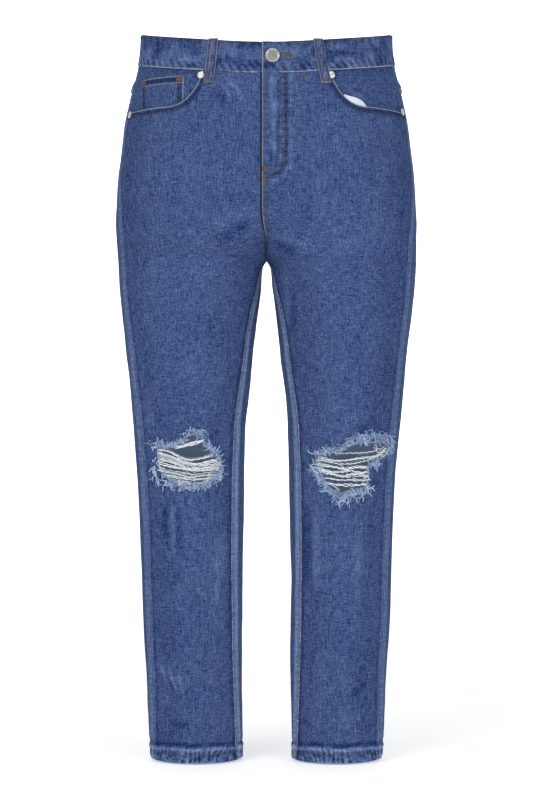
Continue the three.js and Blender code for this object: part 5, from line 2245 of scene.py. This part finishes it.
    def _band_stitches(self) -> None:
        """Rows along both edges of the band, down its end, and the buttonhole."""
        band = self.pieces["denim_waistband"]
        seam = Seam("stitches_waistband", seed=3)
        signed = np.linspace(-4.0, -2.0 * band.half - FLY_LAP + 3.0, 700)
        wrapped = np.where(signed < -band.half, signed + 2.0 * band.half, signed)
        for rise in (2.6, BAND_HEIGHT - 2.6):
            z = band.seam(wrapped) + rise
            seam.row(band, z, signed / band.half * self.form.ring(z))
        end = -2.0 * band.half - FLY_LAP + 2.4
        rise = np.linspace(3.0, BAND_HEIGHT - 3.0, 20)
        z = float(band.seam(np.array(FLY_LAP))) + rise
        seam.row(band, z, end / band.half * self.form.ring(z))
        tacks = Seam("buttonhole", seed=4, radius=0.45)
        middle = float(band.seam(np.array(12.0))) + BAND_HEIGHT * 0.56
        for x in np.arange(19.5, 34.0, 0.85):
            height = 3.4 if x < 31.5 else 5.0
            signed_here = -2.0 * band.half + x
            tacks.tack(band, middle + (x - 19.5) * 0.12, signed_here / band.half * float(self.form.ring(
                np.array(middle))), 0.8, height)
        self.band_sewn = [seam.build(), tacks.build()]
        fly = self.pieces["denim_front_left"]
        bars = Seam("bar_tacks", Finish.BAR_TACK, 0.4, seed=6)
        bars.tack(fly, FLY_END_Z + 1.0, -1.5, 8.0, 5.5)
        bars.tack(fly, FLY_END_Z - 13.0, -2.5, 13.0, 3.6, level=False)
        bars.tack(fly, -51.0, 50.0, 7.0, 3.2)
        self.band_sewn.append(bars.build())

    def _loop_stitches(self) -> None:
        """A row along each edge of each loop and a tack at both its ends."""
        seam = Seam("stitches_belt_loops", seed=8, radius=0.36)
        tacks = Seam("tacks_belt_loops", Finish.BAR_TACK, 0.38, seed=10)
        for loop in (p for p in self.pieces.values() if isinstance(p, BeltLoop)):
            v = np.linspace(0.07, 0.93, 30)
            for u in (0.18, 0.82):
                z, s = loop.place(np.full(30, u), v)
                seam.row(loop, z, s)
            for v_end in (0.04, 0.955):
                z, s = loop.place(np.array(0.5), np.array(v_end))
                tacks.tack(loop, float(z), float(s), loop.width - 3.0, 2.4)
        self.loop_sewn = [seam.build(), tacks.build()]

    def _coin_stitches(self) -> None:
        """Two rows along the coin pocket's hem and sides, and tacks at its corners."""
        coin = self.pieces["denim_coin_pocket"]
        seam = Seam("stitches_coin_pocket", seed=12, radius=0.38)
        tacks = Seam("tacks_coin_pocket", Finish.BAR_TACK, 0.36, seed=14)
        for drop in (2.0, 8.2):
            z, s = coin.place(np.linspace(0.03, 0.97, 30), np.full(30, drop / (coin.zs[0] - coin.zs[1])))
            seam.row(coin, z, s)
        for u in (0.035, 0.125, 0.875, 0.965):
            z, s = coin.place(np.full(30, u), np.linspace(0.03, 0.98, 30))
            seam.row(coin, z, s)
        for u in (0.08, 0.92):
            z, s = coin.place(np.array(u), np.array(0.085))
            tacks.tack(coin, float(z), float(s), 7.0, 6.5)
        self.coin_sewn = [seam.build(), tacks.build()]

    def metal(self) -> None:
        """Rivets at the pocket corners and the waist button."""
        for name, side, x, z in (
            ("rivet_front_left", 1, 86.5, -48.2), ("rivet_front_right", -1, 87.5, -48.2),
            ("rivet_side_left", 1, 184.6, -90.0), ("rivet_side_right", -1, 185.0, -94.0),
        ):
            front = self.pieces[f"denim_front_{'left' if side > 0 else 'right'}"]
            Stud(name, Finish.RIVET, RIVET, front, x, z, 0.5).build()
        band = self.pieces["denim_waistband"]
        Stud("waist_button", Finish.BUTTON, BUTTON, ButtonSeat(band), 8.0, -23.0, 0.0, 56).build()

    def declare(self) -> None:
        """Logs each piece of cloth's cut size and area, once all that lies on it is made."""
        joined = {
            "denim_front_left": (["denim_waistband", "denim_back_left", "denim_front_right"],
                                 [*self.loose["left"], *self.sewn["left"]]),
            "denim_front_right": (["denim_waistband", "denim_back_right", "denim_front_left"],
                                  [*self.loose["right"], *self.sewn["right"]]),
            "denim_waistband": (["denim_front_left", "denim_front_right"], self.band_sewn),
            "denim_coin_pocket": (["denim_facing_right"], self.coin_sewn),
            "denim_loop_back": (["denim_waistband"], self.loop_sewn),
        }
        for name, cloth in self.pieces.items():
            rests_on, extra = joined.get(name, (["denim_waistband"], []))
            cloth.declare(rests_on, extra)


class ButtonSeat:
    """The band's left end as a place that a stud can stand on."""

    def __init__(self, band: Waistband) -> None:
        """Keeps the band."""
        self.band, self.form = band, band.form

    def on_surface(self, z: Array, s: Array, above: float) -> tuple[Array, Array]:
        """Point and direction on the overlapping end, whose running length is counted from the far end."""
        return self.band.on_surface(z, s - 2.0 * self.form.ring(z), above)


# ---------------------------------------------------------------- studio
@dataclass(frozen=True)
class Studio:
    """Pale floor and backdrop, soft lights and the camera. Sizes in metres."""

    floor_z: float = -0.9795
    distance: float = 3.3
    eye_z: float = -0.482
    lens: float = 107.6

    def build(self) -> None:
        """Makes everything round the garment."""
        self.backdrop()
        self.light("key", (-1.9, -3.0, 1.2), 2.2, 50.0)
        self.light("fill", (2.6, -2.4, 0.2), 2.6, 32.0)
        self.light("top", (0.0, -0.8, 2.4), 2.2, 22.0)
        world = bpy.data.worlds.new("studio")
        world.use_nodes = True
        world.node_tree.nodes["Background"].inputs["Color"].default_value = (0.95, 0.97, 1.0, 1.0)
        world.node_tree.nodes["Background"].inputs["Strength"].default_value = 0.32
        bpy.context.scene.world = world
        bpy.context.scene.view_settings.view_transform = "Standard"
        self.camera()

    def backdrop(self) -> None:
        """Floor that sweeps up into a wall."""
        sweep = bmesh.new()
        bmesh.ops.create_grid(sweep, x_segments=2, y_segments=40, size=1.0)
        run, radius = 11.0, 1.0
        for vert in sweep.verts:
            t = (vert.co.y + 1.0) / 2.0 * (run + radius * math.pi / 2.0 + 4.0)
            bend = min(max(t - run, 0.0) / radius, math.pi / 2.0)
            rest = max(t - run - radius * math.pi / 2.0, 0.0)
            y = min(t, run) + radius * math.sin(bend)
            z = radius * (1.0 - math.cos(bend)) + rest
            vert.co = Vector((vert.co.x * 6.0, y - 5.2, self.floor_z + z))
        mesh = poured("backdrop", sweep)
        mesh.shade_smooth()
        shader = Shader("paper")
        place = shader.node("ShaderNodeTexCoord", {}, {}, "Object")
        far = shader.node("ShaderNodeSeparateXYZ", {}, {"Vector": place}, "Y").step(0.8, 3.5)
        glow = shader.mix(far, (0.43, 0.43, 0.425, 1.0), (1.0, 1.0, 1.0, 1.0))
        shader.tree.links.new(glow.socket, shader.surface.inputs["Emission Color"])
        shader.keep(Emission_Strength=1.0)
        mesh.materials.append(shader.finish((0.9, 0.9, 0.9, 1.0), 0.9))
        paper = bpy.data.objects.new("backdrop", mesh)
        bpy.context.scene.collection.objects.link(paper)

    def light(self, name: str, place: tuple[float, float, float], size: float, power: float) -> None:
        """Adds a square soft light that faces the middle of the garment.

        Args:
            name: Its name.
            place: Where it stands.
            size: Its side.
            power: Its power in watts.
        """
        data = bpy.data.lights.new(name, "AREA")
        data.size, data.energy = size, power
        lamp = bpy.data.objects.new(name, data)
        lamp.location = place
        aim = Vector((0.0, 0.0, self.eye_z)) - Vector(place)
        lamp.rotation_euler = aim.to_track_quat("-Z", "Y").to_euler()
        bpy.context.scene.collection.objects.link(lamp)

    def camera(self) -> None:
        """Level camera in front of the garment, halfway up it."""
        data = bpy.data.cameras.new("camera")
        data.lens, data.sensor_width = self.lens, 36.0
        data.clip_start, data.clip_end = 0.1, 40.0
        eye = bpy.data.objects.new("camera", data)
        eye.location = (0.0, -self.distance, self.eye_z)
        eye.rotation_euler = (math.pi / 2.0, 0.0, 0.0)
        bpy.context.scene.collection.objects.link(eye)
        bpy.context.scene.camera = eye


def main() -> None:
    """Builds the jeans and the studio."""
    logging.basicConfig(level=logging.INFO, format="%(message)s")
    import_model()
    jeans = Jeans()
    jeans.sew()
    jeans.declare()
    Studio().build()


if __name__ == "__main__":
    main()
